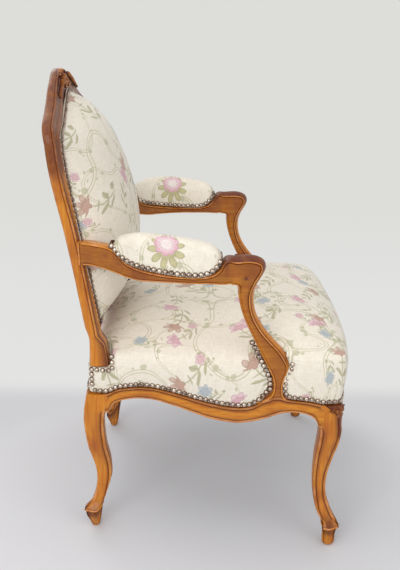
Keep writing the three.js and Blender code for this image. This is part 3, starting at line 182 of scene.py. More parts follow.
@dataclass(frozen=True)
class Plan:
    """The chair's driving sizes in millimetres, and the lines and surfaces that follow from them.

    The sitter looks along -Y and has +X on the left. Y is measured from the middle of the seat frame.
    """

    half_depth: float = 263.0
    front_half: float = 300.0
    rear_half: float = 240.0
    bow: float = 30.0
    rail_top: float = 390.0
    rail_thickness: float = 28.0
    apron_thickness: float = 14.0
    apron_low: float = 285.0
    apron_rise: float = 40.0
    lip_low: float = 319.0
    lip_rise: float = 31.0
    rear_lip: float = 333.0
    rear_apron_low: float = 312.0
    web_level: float = 330.0
    rebate: float = 6.0
    front_post: float = 44.0
    rear_post_width: float = 40.0
    rear_post_depth: float = 44.0
    stile_foot: float = 393.0
    stile_width: float = 40.0
    stile_depth: float = 31.0
    stile_foot_depth: float = 41.0
    shoulder_height: float = 850.0
    shoulder_spread: float = 12.5
    back_rake: float = 68.5
    crest_rise: float = 96.0
    crest_lean: float = 0.19
    crest_width: float = 50.0
    lower_rail_height: float = 468.0
    lower_rail_width: float = 40.0
    lower_rail_drop: float = 8.0
    back_rebate_depth: float = 5.0
    arm_height: float = 653.0
    arm_underside: float = 594.0
    arm_front: float = -92.0
    arm_width: float = 44.0
    arm_rear_width: float = 30.0
    arm_front_x: float = 281.0
    arm_rear_x: float = 223.0
    support_width: float = 27.0
    support_sweep: float = 74.0
    support_foot: float = -127.0
    support_flare: float = 8.0
    gap: float = 0.3
    hem_gap: float = 3.0
    hem_set: float = 3.0
    fabric: float = 2.4
    seat_front_crown: float = 512.0
    seat_rear_crown: float = 452.0
    seat_bulge: float = 7.0
    spring_top: float = 424.0
    pad_top: float = 688.0
    pad_width: float = 47.0

    @property
    def front_post_x(self) -> float:
        """Middle of a front leg's post."""
        return self.front_half - self.front_post / 2

    @property
    def front_post_y(self) -> float:
        """Middle of a front leg's post."""
        return -self.half_depth + self.front_post / 2

    @property
    def rear_post_x(self) -> float:
        """Middle of a rear leg's post."""
        return self.rear_half - self.rear_post_width / 2

    @property
    def rear_post_y(self) -> float:
        """Middle of a rear leg's post."""
        return self.half_depth - self.rear_post_depth / 2

    @property
    def rail_end(self) -> float:
        """Distance of a side rail's ends from the middle of the seat frame."""
        return self.half_depth - self.rear_post_depth - self.gap

    @property
    def shoulder_x(self) -> float:
        """Middle line of the back frame at its shoulders."""
        return self.rear_post_x + self.shoulder_spread

    @property
    def front_rail_half(self) -> float:
        """Half of the front rail's length between its legs."""
        return self.front_post_x - self.front_post / 2 - self.gap

    @property
    def leg_top_front(self) -> float:
        """Top of a front leg's shaped part."""
        return self.lip_low + self.lip_rise * SIDE_RAIL_SHARES[-1][2]

    @property
    def leg_top_rear(self) -> float:
        """Top of a rear leg's shaped part."""
        return self.lip_low + self.lip_rise * SIDE_RAIL_SHARES[0][2]

    def side_share(self, y: float) -> float:
        """Place along a side rail, from 0 at its rear end to 1 at its front end."""
        return clamp((self.rail_end - y) / (2 * self.rail_end))

    def half_width(self, y: float) -> float:
        """Distance of the side rail's show face from the middle."""
        return mix(self.rear_half, self.front_half, self.side_share(y))

    def front_bow(self, x: float) -> float:
        """How far the front rail stands forward of the legs."""
        return self.bow * (1 - clamp(abs(x) / self.front_half) ** 2)

    def side_lip(self, y: float) -> float:
        """Height of the moulded lip along a side rail."""
        return self.lip_low + self.lip_rise * read(SIDE_RAIL_SHARES, self.side_share(y), 2)

    def front_lip(self, x: float) -> float:
        """Height of the moulded lip along the front rail."""
        return self.lip_low + self.lip_rise * read(FRONT_RAIL_SHARES, abs(x) / self.front_rail_half, 2)

    def seat_point(self, p: float, q: float, inset: float, z: float) -> Vector:
        """A point over the seat's plan.

        Args:
            p: Place across, from -1 to 1.
            q: Place from the front, -1, to the rear, 1.
            inset: Distance inside the show faces.
            z: Height.

        Returns:
            The point.
        """
        y = q * (self.half_depth - inset)
        x = p * (self.half_width(y) - inset)
        return Vector((x, y - self.front_bow(x) * max(0.0, -q) ** 2, z))

    def hem(self, p: float, q: float) -> float:
        """Height of the seat cover's lower edge at a point of the plan's border.

        Args:
            p: Place across, from -1 to 1.
            q: Place along, from -1 to 1.

        Returns:
            The height.
        """
        point = self.seat_point(p, q, self.hem_set, 0.0)
        side = self.side_lip(point.y)
        end = self.front_lip(point.x) if q < 0 else self.rear_lip
        turn = ease((abs(p) - abs(q)) * 14 + 0.5)
        return mix(end, side, turn) + self.hem_gap

    def seat_top(self, q: float) -> float:
        """Height of the seat's crown at a place from the front to the rear."""
        return mix(self.seat_front_crown, self.seat_rear_crown, (q + 1) / 2)

    def stile_share(self, z: float) -> float:
        """Place along a stile, from 0 at its foot to 1 at its shoulder."""
        return clamp((z - self.stile_foot) / (self.shoulder_height - self.stile_foot))

    def frame_y(self, z: float) -> float:
        """Middle line of the back frame, seen from the side."""
        lean = max(0.0, z - self.shoulder_height) * self.crest_lean
        return self.rear_post_y + self.back_rake * read(STILE_SHARES, self.stile_share(z), 1) + lean

    def frame_x(self, z: float) -> float:
        """Middle line of a stile, seen from the front."""
        return self.rear_post_x + self.shoulder_spread * read(STILE_SHARES, self.stile_share(z), 2)

    def frame_face(self, z: float) -> float:
        """Front face of the back frame."""
        return self.frame_y(z) - self.stile_depth / 2

    def arm_x(self, along: float) -> float:
        """Middle line of an arm, seen from above."""
        return mix(self.arm_rear_x, self.arm_front_x, read(ARM_SHARES, along, 4))

    def arm_point(self, along: float, off: float, z: float) -> Vector:
        """A point of an arm from its place along the arm, off its middle line, and its height."""
        rear = self.frame_face(z) - self.gap
        return Vector((self.arm_x(along) + off, mix(rear, self.arm_front, along), z))

    def arm_share(self, y: float, z: float) -> float:
        """Place along an arm, from 0 at the back frame to 1 at the scroll."""
        face = self.frame_face(z)
        return clamp((face - y) / (face - self.arm_front))

    def support_share(self, z: float) -> float:
        """Place up an arm support, from 0 at the rail to 1 under the arm."""
        return clamp((z - self.rail_top) / (self.arm_underside - self.rail_top))

    def support_y(self, share: float) -> float:
        """Middle line of an arm support, seen from the side."""
        return self.support_foot + self.support_sweep * read(SUPPORT_SHARES, share, 1)

    def support_x(self, share: float) -> float:
        """Middle line of an arm support, seen from the front."""
        flare = self.support_flare * read(SUPPORT_SHARES, share, 3) * (1 - share)
        return mix(self.support_foot_x, self.arm_front_x, share) + flare

    @property
    def support_foot_x(self) -> float:
        """Middle of an arm support's foot."""
        return self.half_width(self.support_foot) - self.support_width / 2


PLAN = Plan()
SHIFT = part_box("front_seat_rail")[0].y / MM + PLAN.half_depth + PLAN.bow
TO_FRAME = Matrix.Scale(MM, 4) @ Matrix.Translation((0.0, SHIFT, 0.0))


@dataclass(frozen=True)
class Moulding:
    """A member's section: a box with round corners and a quirk run along the edges of its faces.

    Attributes:
        corner: Radius of the corners.
        quirk: Distance from a corner to the middle of the groove beside it.
        depth: Depth of the groove.
        crown: How far a face swells between its grooves.
        grooved: Which faces have grooves, in the order +u, +v, -u, -v.
    """

    corner: float = 3.2
    quirk: float = 7.0
    depth: float = 1.5
    crown: float = 0.8
    grooved: tuple[bool, bool, bool, bool] = (True, True, True, True)

    def face(
        self, half: float, grooved: bool, corner: float, ends: Ends | None = None
    ) -> list[Station]:
        """Points along one face: place along it, depth below it, recess and arris.

        Args:
            half: Half of the face's width.
            grooved: Whether the face has grooves.
            corner: Radius of its corners.
            ends: Distance from the corner and strength of the groove at the face's start and at its end.

        Returns:
            The points.
        """
        spread = max(half - corner, 0.1)
        swell = -self.crown
        if not grooved:
            rows = [(t * spread, swell * (1 - t * t), 0.0, 0.0) for t in (-0.5, 0.0, 0.5)]
            return [(-spread, 0.0, 0, 1.0), *rows, (spread, 0.0, 0, 1.0)]
        (near, weak), (far, strong) = ends or ((self.quirk, 1.0),) * 2
        limit = 0.55 if ends is None else 1.75
        last = half - min(far, half * limit)
        first = min(-half + min(near, half * limit), last - 5.0)
        reach = min(1.7, half * 0.1)
        low = min(self.depth, half * 0.12)

        def groove(at: float, way: float, edge: float, force: float) -> list[Station]:
            """The bead, the groove and the start of the field, from the corner inwards.

            Args:
                at: Middle of the groove.
                way: Direction from the groove to the corner.
                edge: Place of the corner.
                force: Strength of the groove.

            Returns:
                The points.
            """
            gap = abs(edge - at) - reach
            bead = at + way * (reach + min(2.6, gap * 0.5))
            # The recess marks paint the groove and bead darker (dirt and painted shade); the arris marks
            # paint the corner and bead paler (wear and a painted highlight).
            pale = mix(0.9, 0.0, clamp((gap - 2.0) / 6.0)) * force
            return [
                (edge, 0.0, 0.2 * force, 1.0),
                (bead, 0.0, 0.45 * force, pale * 0.6),
                (at + way * reach, 0.0, 0.15 * force, 0.8 * force),
                (at, low * force, force, 0.0),
                (at - way * reach, 0.0, 0.5 * force, 0.15 * force),
            ]

        middle = [(mix(first, last, t), swell * (1 - abs(t - 0.5)), 0.0, 0.0) for t in (0.3, 0.5, 0.7)]
        return groove(first, -1.0, -spread, weak) + middle + groove(last, 1.0, spread, strong)[::-1]

    def outline(
        self, half_u: float, half_v: float, corner: float | None = None, ends: dict[int, Ends] | None = None
    ) -> list[Station]:
        """The whole section, anticlockwise.

        Args:
            half_u: Half width.
            half_v: Half depth.
            corner: Radius of the corners, if not the moulding's own.
            ends: Grooves of single faces, in the order +u, +v, -u, -v.

        Returns:
            Points as u, v, recess and arris.
        """
        radius = min(self.corner if corner is None else corner, min(half_u, half_v) * 0.92)
        points = []
        for k, (half, off) in enumerate(((half_v, half_u), (half_u, half_v)) * 2):
            turn = Matrix.Rotation(math.pi / 2 * k, 2)
            for t, low, recess, arris in self.face(half, self.grooved[k], radius, (ends or {}).get(k)):
                points.append((turn @ Vector((off - low, t)), recess, arris))
            cut = radius * (1 - math.sqrt(0.5))
            points.append((turn @ Vector((off - cut, half - cut)), 0.0, 1.0))
        return [(point.x, point.y, recess, arris) for point, recess, arris in points]


def ring_at(origin: Vector, across: Vector, up: Vector, outline: Iterable[Sequence[float]]) -> Ring:
    """A section set into space.

    Args:
        origin: Place of the section's middle.
        across: Direction of u.
        up: Direction of v.
        outline: Points as u, v, recess and arris.

    Returns:
        The ring.
    """
    return [(origin + across * u + up * v, recess, arris) for u, v, recess, arris in outline]


def scaled(ring: Ring, share: float, recess: float | None = None) -> Ring:
    """A ring drawn in towards its middle.

    Args:
        ring: The ring.
        share: Its new size as a share.
        recess: Its recess, if not the old one.

    Returns:
        The drawn-in ring.
    """
    middle = sum((point for point, *_ in ring), Vector()) / len(ring)
    return [
        (middle.lerp(point, share), old if recess is None else recess, arris) for point, old, arris in ring
    ]


X, Y, Z = Vector((1, 0, 0)), Vector((0, 1, 0)), Vector((0, 0, 1))


class Skin:
    """A mesh in the making, with marks on its points of darker hollows (dirt and painted shade) and pale
    edges (wear and a painted highlight).
    """

    def __init__(self) -> None:
        """Starts an empty mesh."""
        self.bm = bmesh.new()
        self.recess = self.bm.verts.layers.float.new("recess")
        self.arris = self.bm.verts.layers.float.new("arris")
        self.pinned = self.bm.verts.layers.float.new("pinned")
        self.cloth = self.bm.loops.layers.uv.new("cloth")

    def put(self, verts: Iterable[BMVert], ring: Ring) -> None:
        """Moves points onto a ring and marks them.

        Args:
            verts: The points.
            ring: Where they go.
        """
        for vert, (point, recess, arris) in zip(verts, ring):
            vert.co = point
            vert[self.recess] = recess
            vert[self.arris] = arris

    def loop_edges(self, verts: Sequence[BMVert]) -> list[BMEdge]:
        """The edges of a closed loop of points."""
        return [self.bm.edges.get((verts[i - 1], verts[i])) for i in range(len(verts))]

    def extrude_ring(self, verts: list[BMVert], ring: Ring) -> list[BMVert]:
        """Draws a loop of points out onto the next ring.

        Args:
            verts: The loop's points in order.
            ring: Where the new loop goes.

        Returns:
            The new loop's points in the same order.
        """
        grown = bmesh.ops.extrude_edge_only(self.bm, edges=self.loop_edges(verts))["geom"]
        fresh = {item for item in grown if isinstance(item, BMVert)}
        moved = []
        for vert in verts:
            moved.append(next(e.other_vert(vert) for e in vert.link_edges if e.other_vert(vert) in fresh))
        self.put(moved, ring)
        return moved

    def sweep(self, rings: Sequence[Ring]) -> None:
        """A skin through rings of the same length, with its ends closed.

        Args:
            rings: The rings, from one end to the other.
        """
        first = bmesh.ops.create_circle(self.bm, segments=len(rings[0]), radius=1.0, cap_ends=False)["verts"]
        self.put(first, rings[0])
        last = first
        for ring in rings[1:]:
            last = self.extrude_ring(last, ring)
        for loop in (first, last):
            bmesh.ops.edgeloop_fill(self.bm, edges=self.loop_edges(loop))

    def lump(
        self,
        place: Matrix,
        size: Sequence[float],
        shape: Callable[[Vector], Vector] | None = None,
        detail: tuple[int, int] = (12, 8),
        dark: float = 0.0,
    ) -> None:
        """A carved lump made from a ball, painted darker below as shade and paler on top as a highlight.

        Args:
            place: Where the ball goes.
            size: Its half sizes.
            shape: Bends a point of the unit ball.
            detail: Segments round and up the ball.
            dark: How much darker than plain wood its top is.
        """
        ball = bmesh.ops.create_uvsphere(self.bm, u_segments=detail[0], v_segments=detail[1], radius=1.0)
        for vert in ball["verts"]:
            point = shape(vert.co) if shape else vert.co.copy()
            # Painted shade on the ball's lower part and a painted highlight on its top.
            vert[self.recess] = clamp(1.1 - 1.25 * vert.co.z, dark)
            vert[self.arris] = clamp(vert.co.z * 1.8 - 0.85) * (1 - 0.6 * dark)
            vert.co = place @ Vector((point.x * size[0], point.y * size[1], point.z * size[2]))

    def flower(
        self,
        place: Matrix,
        petals: int,
        out: Sequence[float],
        petal: Sequence[float],
        heart: Sequence[float],
        detail: tuple[int, int] = (12, 8),
        dark: tuple[float, float] = (0.0, 0.0),
    ) -> None:
        """A carved flower.

        Args:
            place: Where it goes.
            petals: Number of petals.
            out: Middle of a petal that points along X.
            petal: Half sizes of a petal.
            heart: Half sizes of the heart.
            detail: Segments of a petal.
            dark: How dark the petals and the heart are.
        """
        for k in range(petals):
            turn = Matrix.Rotation(math.pi / 2 + 2 * math.pi * k / petals, 4, "Z")
            self.lump(place @ turn @ Matrix.Translation(out), petal, cupped, detail, dark[0])
        self.lump(place, heart, None, (10, 6), dark[1])

    def finish(
        self,
        name: str,
        material: Material,
        slot: str,
        replaces: Sequence[str] = (),
        sharp: float = 42.0,
        flip: bool = False,
    ) -> Object:
        """Makes the mesh an object of the chair.

        Args:
            name: The piece's name.
            material: Its finish.
            slot: Not used.
            replaces: CAD nodes that it stands for.
            sharp: Angle in degrees from which an edge stays sharp.
            flip: Whether the piece goes to the other side of the chair.

        Returns:
            The object.
        """
        place = TO_FRAME @ Matrix.Scale(-1, 4, X) if flip else TO_FRAME
        self.bm.transform(place)
        bmesh.ops.recalc_face_normals(self.bm, faces=self.bm.faces)
        for face in self.bm.faces:
            face.smooth = True
        for edge in self.bm.edges:
            edge.smooth = edge.calc_face_angle(0.0) < math.radians(sharp)
        mesh = bpy.data.meshes.new(name)
        self.bm.to_mesh(mesh)
        self.bm.free()
        return settle(bpy.data.objects.new(name, mesh), material, replaces)


def settle(piece: Object, material: Material, replaces: Sequence[str]) -> Object:
    """Links a piece, gives it its finish and lets it ride on the chair.

    Args:
        piece: The object.
        material: Its finish.
        replaces: CAD nodes that it stands for.

    Returns:
        The object.
    """
    bpy.context.scene.collection.objects.link(piece)
    piece.data.materials.append(material)
    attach(piece, BODY)
    if replaces:
        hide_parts(*replaces)
    return piece


class Side(Enum):
    """The two sides of the chair, named for the sitter."""

    LEFT = "left"
    RIGHT = "right"

    @property
    def flip(self) -> bool:
        """Whether a piece built for the left goes to the other side."""
        return self is Side.RIGHT


class Sheet:
    """A node tree with short ways to add nodes to it."""

    def __init__(self, tree: NodeTree) -> None:
        """Wraps a tree."""
        self.tree = tree

    def add(self, kind: str, inputs: dict | None = None, **settings: object) -> Node:
        """Adds a node.

        Args:
            kind: The node's type.
            inputs: Values or sockets for its inputs, by name or index.
            settings: Its properties.

        Returns:
            The node.
        """
        node = self.tree.nodes.new(kind)
        for key, value in settings.items():
            setattr(node, key, value)
        for key, value in (inputs or {}).items():
            self.plug(node.inputs[key], value)
        return node

    def plug(self, socket: NodeSocket, value: object) -> None:
        """Links a socket to another, or sets its value."""
        if isinstance(value, NodeSocket):
            self.tree.links.new(value, socket)
        else:
            socket.default_value = value

    def math(self, operation: str, *values: object, clamped: bool = False) -> NodeSocket:
        """The result of a Math node."""
        node = self.add("ShaderNodeMath", dict(enumerate(values)), operation=operation, use_clamp=clamped)
        return node.outputs[0]

    def vector(self, operation: str, *values: object) -> NodeSocket:
        """The vector that a Vector Math node gives."""
        node = self.add("ShaderNodeVectorMath", dict(enumerate(values)), operation=operation)
        return node.outputs["Vector"]

    def stretch(self, vector: object, scale: object) -> NodeSocket:
        """A vector times a number."""
        node = self.add("ShaderNodeVectorMath", {0: vector, "Scale": scale}, operation="SCALE")
        return node.outputs["Vector"]

    def blend(self, factor: object, first: object, second: object, mode: str = "MIX") -> NodeSocket:
        """Two colours mixed."""
        node = self.add("ShaderNodeMix", data_type="RGBA", blend_type=mode)
        for key, value in zip((0, 6, 7), (factor, first, second)):
            self.plug(node.inputs[key], value)
        return node.outputs[2]

    def between(
        self, value: object, low: float, high: float, out_low: float = 0.0, out_high: float = 1.0
    ) -> NodeSocket:
        """A value's smooth way from one range to another."""
        node = self.add("ShaderNodeMapRange", interpolation_type="SMOOTHSTEP")
        for key, number in zip(range(5), (value, low, high, out_low, out_high)):
            self.plug(node.inputs[key], number)
        return node.outputs[0]

    def split(self, vector: NodeSocket) -> list[NodeSocket]:
        """A vector's three parts."""
        return list(self.add("ShaderNodeSeparateXYZ", {0: vector}).outputs)

    def noise(self, vector: object, scale: object, detail: float = 2.0, rough: float = 0.5) -> NodeSocket:
        """The value of a Noise node."""
        inputs = {"Vector": vector, "Scale": scale, "Detail": detail, "Roughness": rough}
        return self.add("ShaderNodeTexNoise", inputs).outputs["Fac"]

    def place(self) -> NodeSocket:
        """Object coordinates."""
        return self.add("ShaderNodeTexCoord").outputs["Object"]

    def attribute(self, name: str) -> NodeSocket:
        """The number that the mesh carries under a name."""
        return self.add("ShaderNodeAttribute", attribute_name=name).outputs["Fac"]

    def group(self, tree: NodeTree, inputs: dict) -> Node:
        """Places a node group.

        Args:
            tree: The group.
            inputs: Values or sockets by name.

        Returns:
            The node.
        """
        node = self.tree.nodes.new("ShaderNodeGroup")
        node.node_tree = tree
        for key, value in inputs.items():
            self.plug(node.inputs[key], value)
        return node


SOCKETS = {"colour": "NodeSocketColor", "value": "NodeSocketFloat", "vector": "NodeSocketVector"}


def open_group(
    name: str, inputs: dict[str, tuple[str, object]], outputs: dict[str, str]
) -> tuple[Sheet, Node, Node]:
    """Starts a shader node group.

    Args:
        name: The group's name.
        inputs: Kind and default of each input.
        outputs: Kind of each output.

    Returns:
        The group's sheet, its input node and its output node.
    """
    tree = bpy.data.node_groups.new(name, "ShaderNodeTree")
    for label, (kind, default) in inputs.items():
        socket = tree.interface.new_socket(label, in_out="INPUT", socket_type=SOCKETS[kind])
        if default is not None:
            socket.default_value = default
    for label, kind in outputs.items():
        tree.interface.new_socket(label, in_out="OUTPUT", socket_type=SOCKETS[kind])
    sheet = Sheet(tree)
    return sheet, sheet.add("NodeGroupInput"), sheet.add("NodeGroupOutput")


def rgb(red: int, green: int, blue: int) -> tuple[float, float, float, float]:
    """A display colour as a shader's linear one."""
    line = [(c / 255) / 12.92 if c <= 10 else ((c / 255 + 0.055) / 1.055) ** 2.4 for c in (red, green, blue)]
    return (*line, 1.0)


def timber_group() -> NodeTree:
    """Grain of a straight-grained, varnished hardwood along its vector's Z."""
    sheet, given, made = open_group(
        "timber",
        {"Vector": ("vector", None), **{name: ("colour", None) for name in ("Light", "Middle", "Dark")}},
        {"Colour": "colour", "Height": "value"},
    )
    vector = given.outputs["Vector"]
    long = sheet.vector("MULTIPLY", vector, (1.0, 1.0, 0.045))
    broad = sheet.noise(sheet.vector("MULTIPLY", vector, (1.0, 1.0, 0.16)), 34.0, 3.0, 0.55)
    streak = sheet.noise(long, 210.0, 4.0, 0.62)
    pore = sheet.noise(sheet.vector("MULTIPLY", vector, (1.0, 1.0, 0.09)), 1500.0, 2.0, 0.5)
    tone = sheet.blend(sheet.between(streak, 0.3, 0.72), given.outputs["Light"], given.outputs["Middle"])
    cloud = sheet.noise(vector, 13.0, 2.0, 0.5)
    tone = sheet.blend(sheet.between(cloud, 0.42, 0.74, 0.0, 0.5), tone, given.outputs["Dark"])
    tone = sheet.blend(sheet.between(broad, 0.52, 0.8, 0.0, 0.45), tone, given.outputs["Dark"])
    tone = sheet.blend(sheet.between(pore, 0.6, 0.72, 0.0, 0.3), tone, given.outputs["Dark"])
    sheet.plug(made.inputs["Colour"], tone)
    height = sheet.math("MULTIPLY_ADD", streak, 0.5, sheet.math("MULTIPLY", pore, 0.5))
    sheet.plug(made.inputs["Height"], height)
    return sheet.tree


def patina_and_light_group() -> NodeTree:
    """Darkening of hollows (dirt and painted shade), paling of edges (wear and a painted highlight) and
    dulled patches over any colour.
    """
    sheet, given, made = open_group(
        "patina_and_light",
        {
            "Vector": ("vector", None),
            **{name: ("colour", None) for name in ("Colour", "Dirt", "Rubbed")},
            **{name: ("value", 0.0) for name in ("Recess", "Arris", "Gloss", "Wear")},
        },
        {"Colour": "colour", "Roughness": "value"},
    )
    vector, gloss = given.outputs["Vector"], given.outputs["Gloss"]
    patch = sheet.noise(vector, 46.0, 3.0, 0.6)
    held = sheet.between(patch, 0.2, 0.6, 0.72, 1.0)
    # Dirt and painted shade: points marked by the recess attribute take the dark tone.
    dirt = sheet.math("MULTIPLY", given.outputs["Recess"], held, clamped=True)
    tone = sheet.blend(dirt, given.outputs["Colour"], given.outputs["Dirt"])
    # Wear and painted highlight: points marked by the arris attribute take the pale tone.
    edge = sheet.math("MULTIPLY", given.outputs["Arris"], sheet.between(patch, 0.36, 0.66))
    worn_and_highlit = sheet.math("MULTIPLY", edge, given.outputs["Wear"], clamped=True)
    sheet.plug(made.inputs["Colour"], sheet.blend(worn_and_highlit, tone, given.outputs["Rubbed"]))
    smear = sheet.between(sheet.noise(vector, 21.0, 3.0, 0.55), 0.35, 0.7, -0.04, 0.1)
    dull = sheet.math("MULTIPLY_ADD", dirt, 0.3, sheet.math("ADD", gloss, smear), clamped=True)
    sheet.plug(made.inputs["Roughness"], dull)
    return sheet.tree


def weave_group() -> NodeTree:
    """Threads that cross over and under, on a vector in metres."""
    sheet, given, made = open_group(
        "weave",
        {"Vector": ("vector", None), **{name: ("value", 0.0) for name in ("Warp", "Weft", "Slub")}},
        {"Height": "value", "Slub": "value"},
    )
    x, y, _ = sheet.split(given.outputs["Vector"])
    across = sheet.math("DIVIDE", x, given.outputs["Warp"])
    along = sheet.math("DIVIDE", y, given.outputs["Weft"])
    warp = sheet.math("ABSOLUTE", sheet.math("SINE", sheet.math("MULTIPLY", across, math.pi)))
    weft = sheet.math("ABSOLUTE", sheet.math("SINE", sheet.math("MULTIPLY", along, math.pi)))
    parity = sheet.math("ADD", sheet.math("FLOOR", across), sheet.math("FLOOR", along))
    over = sheet.math("PINGPONG", parity, 1.0)
    under = sheet.math("SUBTRACT", 1.0, over)
    height = sheet.math("MULTIPLY_ADD", warp, over, sheet.math("MULTIPLY", weft, under))
    lines = sheet.noise(sheet.vector("MULTIPLY", given.outputs["Vector"], (1.0, 0.05, 1.0)), 900.0, 2.0, 0.6)
    bars = sheet.noise(sheet.vector("MULTIPLY", given.outputs["Vector"], (0.05, 1.0, 1.0)), 900.0, 2.0, 0.6)
    slub = sheet.math("MULTIPLY", sheet.math("ADD", lines, bars), 0.5)
    sheet.plug(made.inputs["Height"], sheet.math("MULTIPLY_ADD", slub, given.outputs["Slub"], height))
    sheet.plug(made.inputs["Slub"], slub)
    return sheet.tree


def start_material(name: str) -> tuple[Material, Sheet, Node]:
    """A new material with its sheet and its Principled BSDF.

    Args:
        name: Its name.

    Returns:
        The material, its sheet and its shader.
    """
    material = bpy.data.materials.new(name)
    material.use_nodes = True
    sheet = Sheet(material.node_tree)
    shader = next(node for node in material.node_tree.nodes if node.type == "BSDF_PRINCIPLED")
    return material, sheet, shader


def bump(sheet: Sheet, shader: Node, height: NodeSocket, depth: float, strength: float) -> None:
    """Gives a shader its relief."""
    node = sheet.add("ShaderNodeBump", {"Height": height, "Distance": depth, "Strength": strength})
    sheet.plug(shader.inputs["Normal"], node.outputs[0])


class Grain(Enum):
    """Direction in which a member's grain runs, as the turn that brings it to Z."""

    UPRIGHT = (0.0, 0.0, 0.0)
    CROSSWISE = (0.0, math.pi / 2, 0.0)
    LENGTHWISE = (math.pi / 2, 0.0, 0.0)


@dataclass(frozen=True)
class Finishes:
    """The groups that several finishes share.

    Attributes:
        timber: Grain of wood.
        patina_and_light: Dirt and painted shade in hollows, wear and a painted highlight on edges.
        weave: Crossed threads.
    """

    timber: NodeTree
    patina_and_light: NodeTree
    weave: NodeTree


@dataclass(frozen=True)
class Wood:
    """Wood of the frame, the blocks or the pegs, darker in its hollows (dirt and painted shade) and paler
    along its edges (wear and a painted highlight).

    Attributes:
        groups: Shared node groups.
        name: Name of the material.
        grain: Direction of the grain.
        light: Palest tone.
        middle: Tone between the two.
        dark: Darkest tone.
        dirt: Tone of the hollows, for dirt and painted shade.
        rubbed: Tone of the pale edges, for wear and a painted highlight.
        gloss: Roughness of clean wood.
        wear: How far the edges are paled, for wear and a painted highlight.
        relief: Strength of the grain's relief.
        varnish: Weight of the coat.
    """

    groups: Finishes
    name: str
    grain: Grain
    light: tuple = rgb(208, 136, 34)
    middle: tuple = rgb(186, 104, 20)
    dark: tuple = rgb(140, 58, 14)
    dirt: tuple = rgb(82, 20, 10)
    rubbed: tuple = rgb(226, 158, 104)
    gloss: float = 0.3
    wear: float = 0.5
    relief: float = 0.35
    varnish: float = 0.3

    @classmethod
    def plain(cls, groups: Finishes, name: str, light: tuple, dark: tuple, gloss: float) -> Material:
        """Builds a bare wood of two tones."""
        tones = light, light, dark, dark, light
        return cls(groups, name, Grain.LENGTHWISE, *tones, gloss, wear=0.0, relief=0.6, varnish=0.0).make()

    def make(self) -> Material:
        """Builds the material."""
        material, sheet, shader = start_material(self.name)
        place = sheet.place()
        turned = sheet.add("ShaderNodeMapping", {"Vector": place}, vector_type="TEXTURE")
        turned.inputs["Rotation"].default_value = self.grain.value
        tones = {"Light": self.light, "Middle": self.middle, "Dark": self.dark}
        grain = sheet.group(self.groups.timber, {"Vector": turned.outputs[0], **tones})
        patina_and_light = sheet.group(
            self.groups.patina_and_light,
            {
                "Vector": place, "Colour": grain.outputs["Colour"], "Recess": sheet.attribute("recess"),
                "Arris": sheet.attribute("arris"), "Dirt": self.dirt, "Rubbed": self.rubbed,
                "Gloss": self.gloss, "Wear": self.wear,
            },
        )
        sheet.plug(shader.inputs["Base Color"], patina_and_light.outputs["Colour"])
        sheet.plug(shader.inputs["Roughness"], patina_and_light.outputs["Roughness"])
        if self.varnish:
            shader.inputs["Specular IOR Level"].default_value = 0.3
            shader.inputs["Coat Weight"].default_value = self.varnish
            shader.inputs["Coat Roughness"].default_value = 0.12
        bump(sheet, shader, grain.outputs["Height"], 0.0002, self.relief)
        return material


@dataclass(frozen=True)
class Cloth:
    """A plain woven cloth: hessian, webbing or cambric.

    Attributes:
        groups: Shared node groups.
        name: Name of the material.
        colour: Tone of the threads.
        shade: Tone between them.
        thread: Width of a thread, in metres.
        depth: Depth of the weave, in metres.
        rough: Least and greatest roughness.
        stripe: Tone of a woven stripe.
    """

    groups: Finishes
    name: str
    colour: tuple
    shade: tuple
    thread: float
    depth: float
    rough: tuple[float, float] = (0.82, 0.96)
    stripe: tuple | None = None

    def make(self) -> Material:
        """Builds the material."""
        material, sheet, shader = start_material(self.name)
        place = sheet.place()
        threads = {"Warp": self.thread, "Weft": self.thread, "Slub": 0.6}
        weave = sheet.group(self.groups.weave, {"Vector": place, **threads})
        tone = sheet.blend(sheet.between(weave.outputs["Height"], 0.1, 0.9), self.shade, self.colour)
        tone = sheet.blend(sheet.between(weave.outputs["Slub"], 0.45, 0.62, 0.0, 0.5), tone, self.shade)
        if self.stripe:
            x, y, _ = sheet.split(place)
            bands = sheet.math("SINE", sheet.math("MULTIPLY", sheet.math("ADD", x, y), 420.0))
            tone = sheet.blend(sheet.between(bands, 0.8, 0.92, 0.0, 0.7), tone, self.stripe)
        cloud = sheet.noise(place, 18.0, 3.0, 0.6)
        tone = sheet.blend(sheet.between(cloud, 0.4, 0.75, 0.0, 0.35), tone, self.shade)
        sheet.plug(shader.inputs["Base Color"], tone)
        sheet.plug(shader.inputs["Roughness"], sheet.between(cloud, 0.2, 0.8, *self.rough))
        bump(sheet, shader, weave.outputs["Height"], self.depth, 0.8)
        return material


@dataclass(frozen=True)
class Metal:
    """Antiqued or bright metal of the nails and the springs.

    Attributes:
        groups: Shared node groups.
        name: Name of the material.
        bright: Tone of the rubbed edges, and of the painted highlight on the nails' tops.
        dull: Tone of the stains, and of the painted shade at the nails' rims.
        gloss: Roughness of clean metal.
    """

    groups: Finishes
    name: str
    bright: tuple
    dull: tuple
    gloss: float

    def make(self) -> Material:
        """Builds the material."""
        material, sheet, shader = start_material(self.name)
        place = sheet.place()
        stain = sheet.noise(place, 260.0, 3.0, 0.6)
        half_tone = tuple((a + b) / 2 for a, b in zip(self.bright, self.dull))
        tone = sheet.blend(sheet.between(stain, 0.35, 0.65), half_tone, self.dull)
        patina_and_light = sheet.group(
            self.groups.patina_and_light,
            {
                "Vector": place, "Colour": tone, "Recess": sheet.attribute("recess"),
                "Arris": sheet.attribute("arris"), "Dirt": self.dull, "Rubbed": self.bright,
                "Gloss": self.gloss, "Wear": 1.0,
            },
        )
        sheet.plug(shader.inputs["Base Color"], patina_and_light.outputs["Colour"])
        sheet.plug(shader.inputs["Roughness"], patina_and_light.outputs["Roughness"])
        shader.inputs["Metallic"].default_value = 0.85
        bump(sheet, shader, stain, 0.0001, 0.4)
        return material


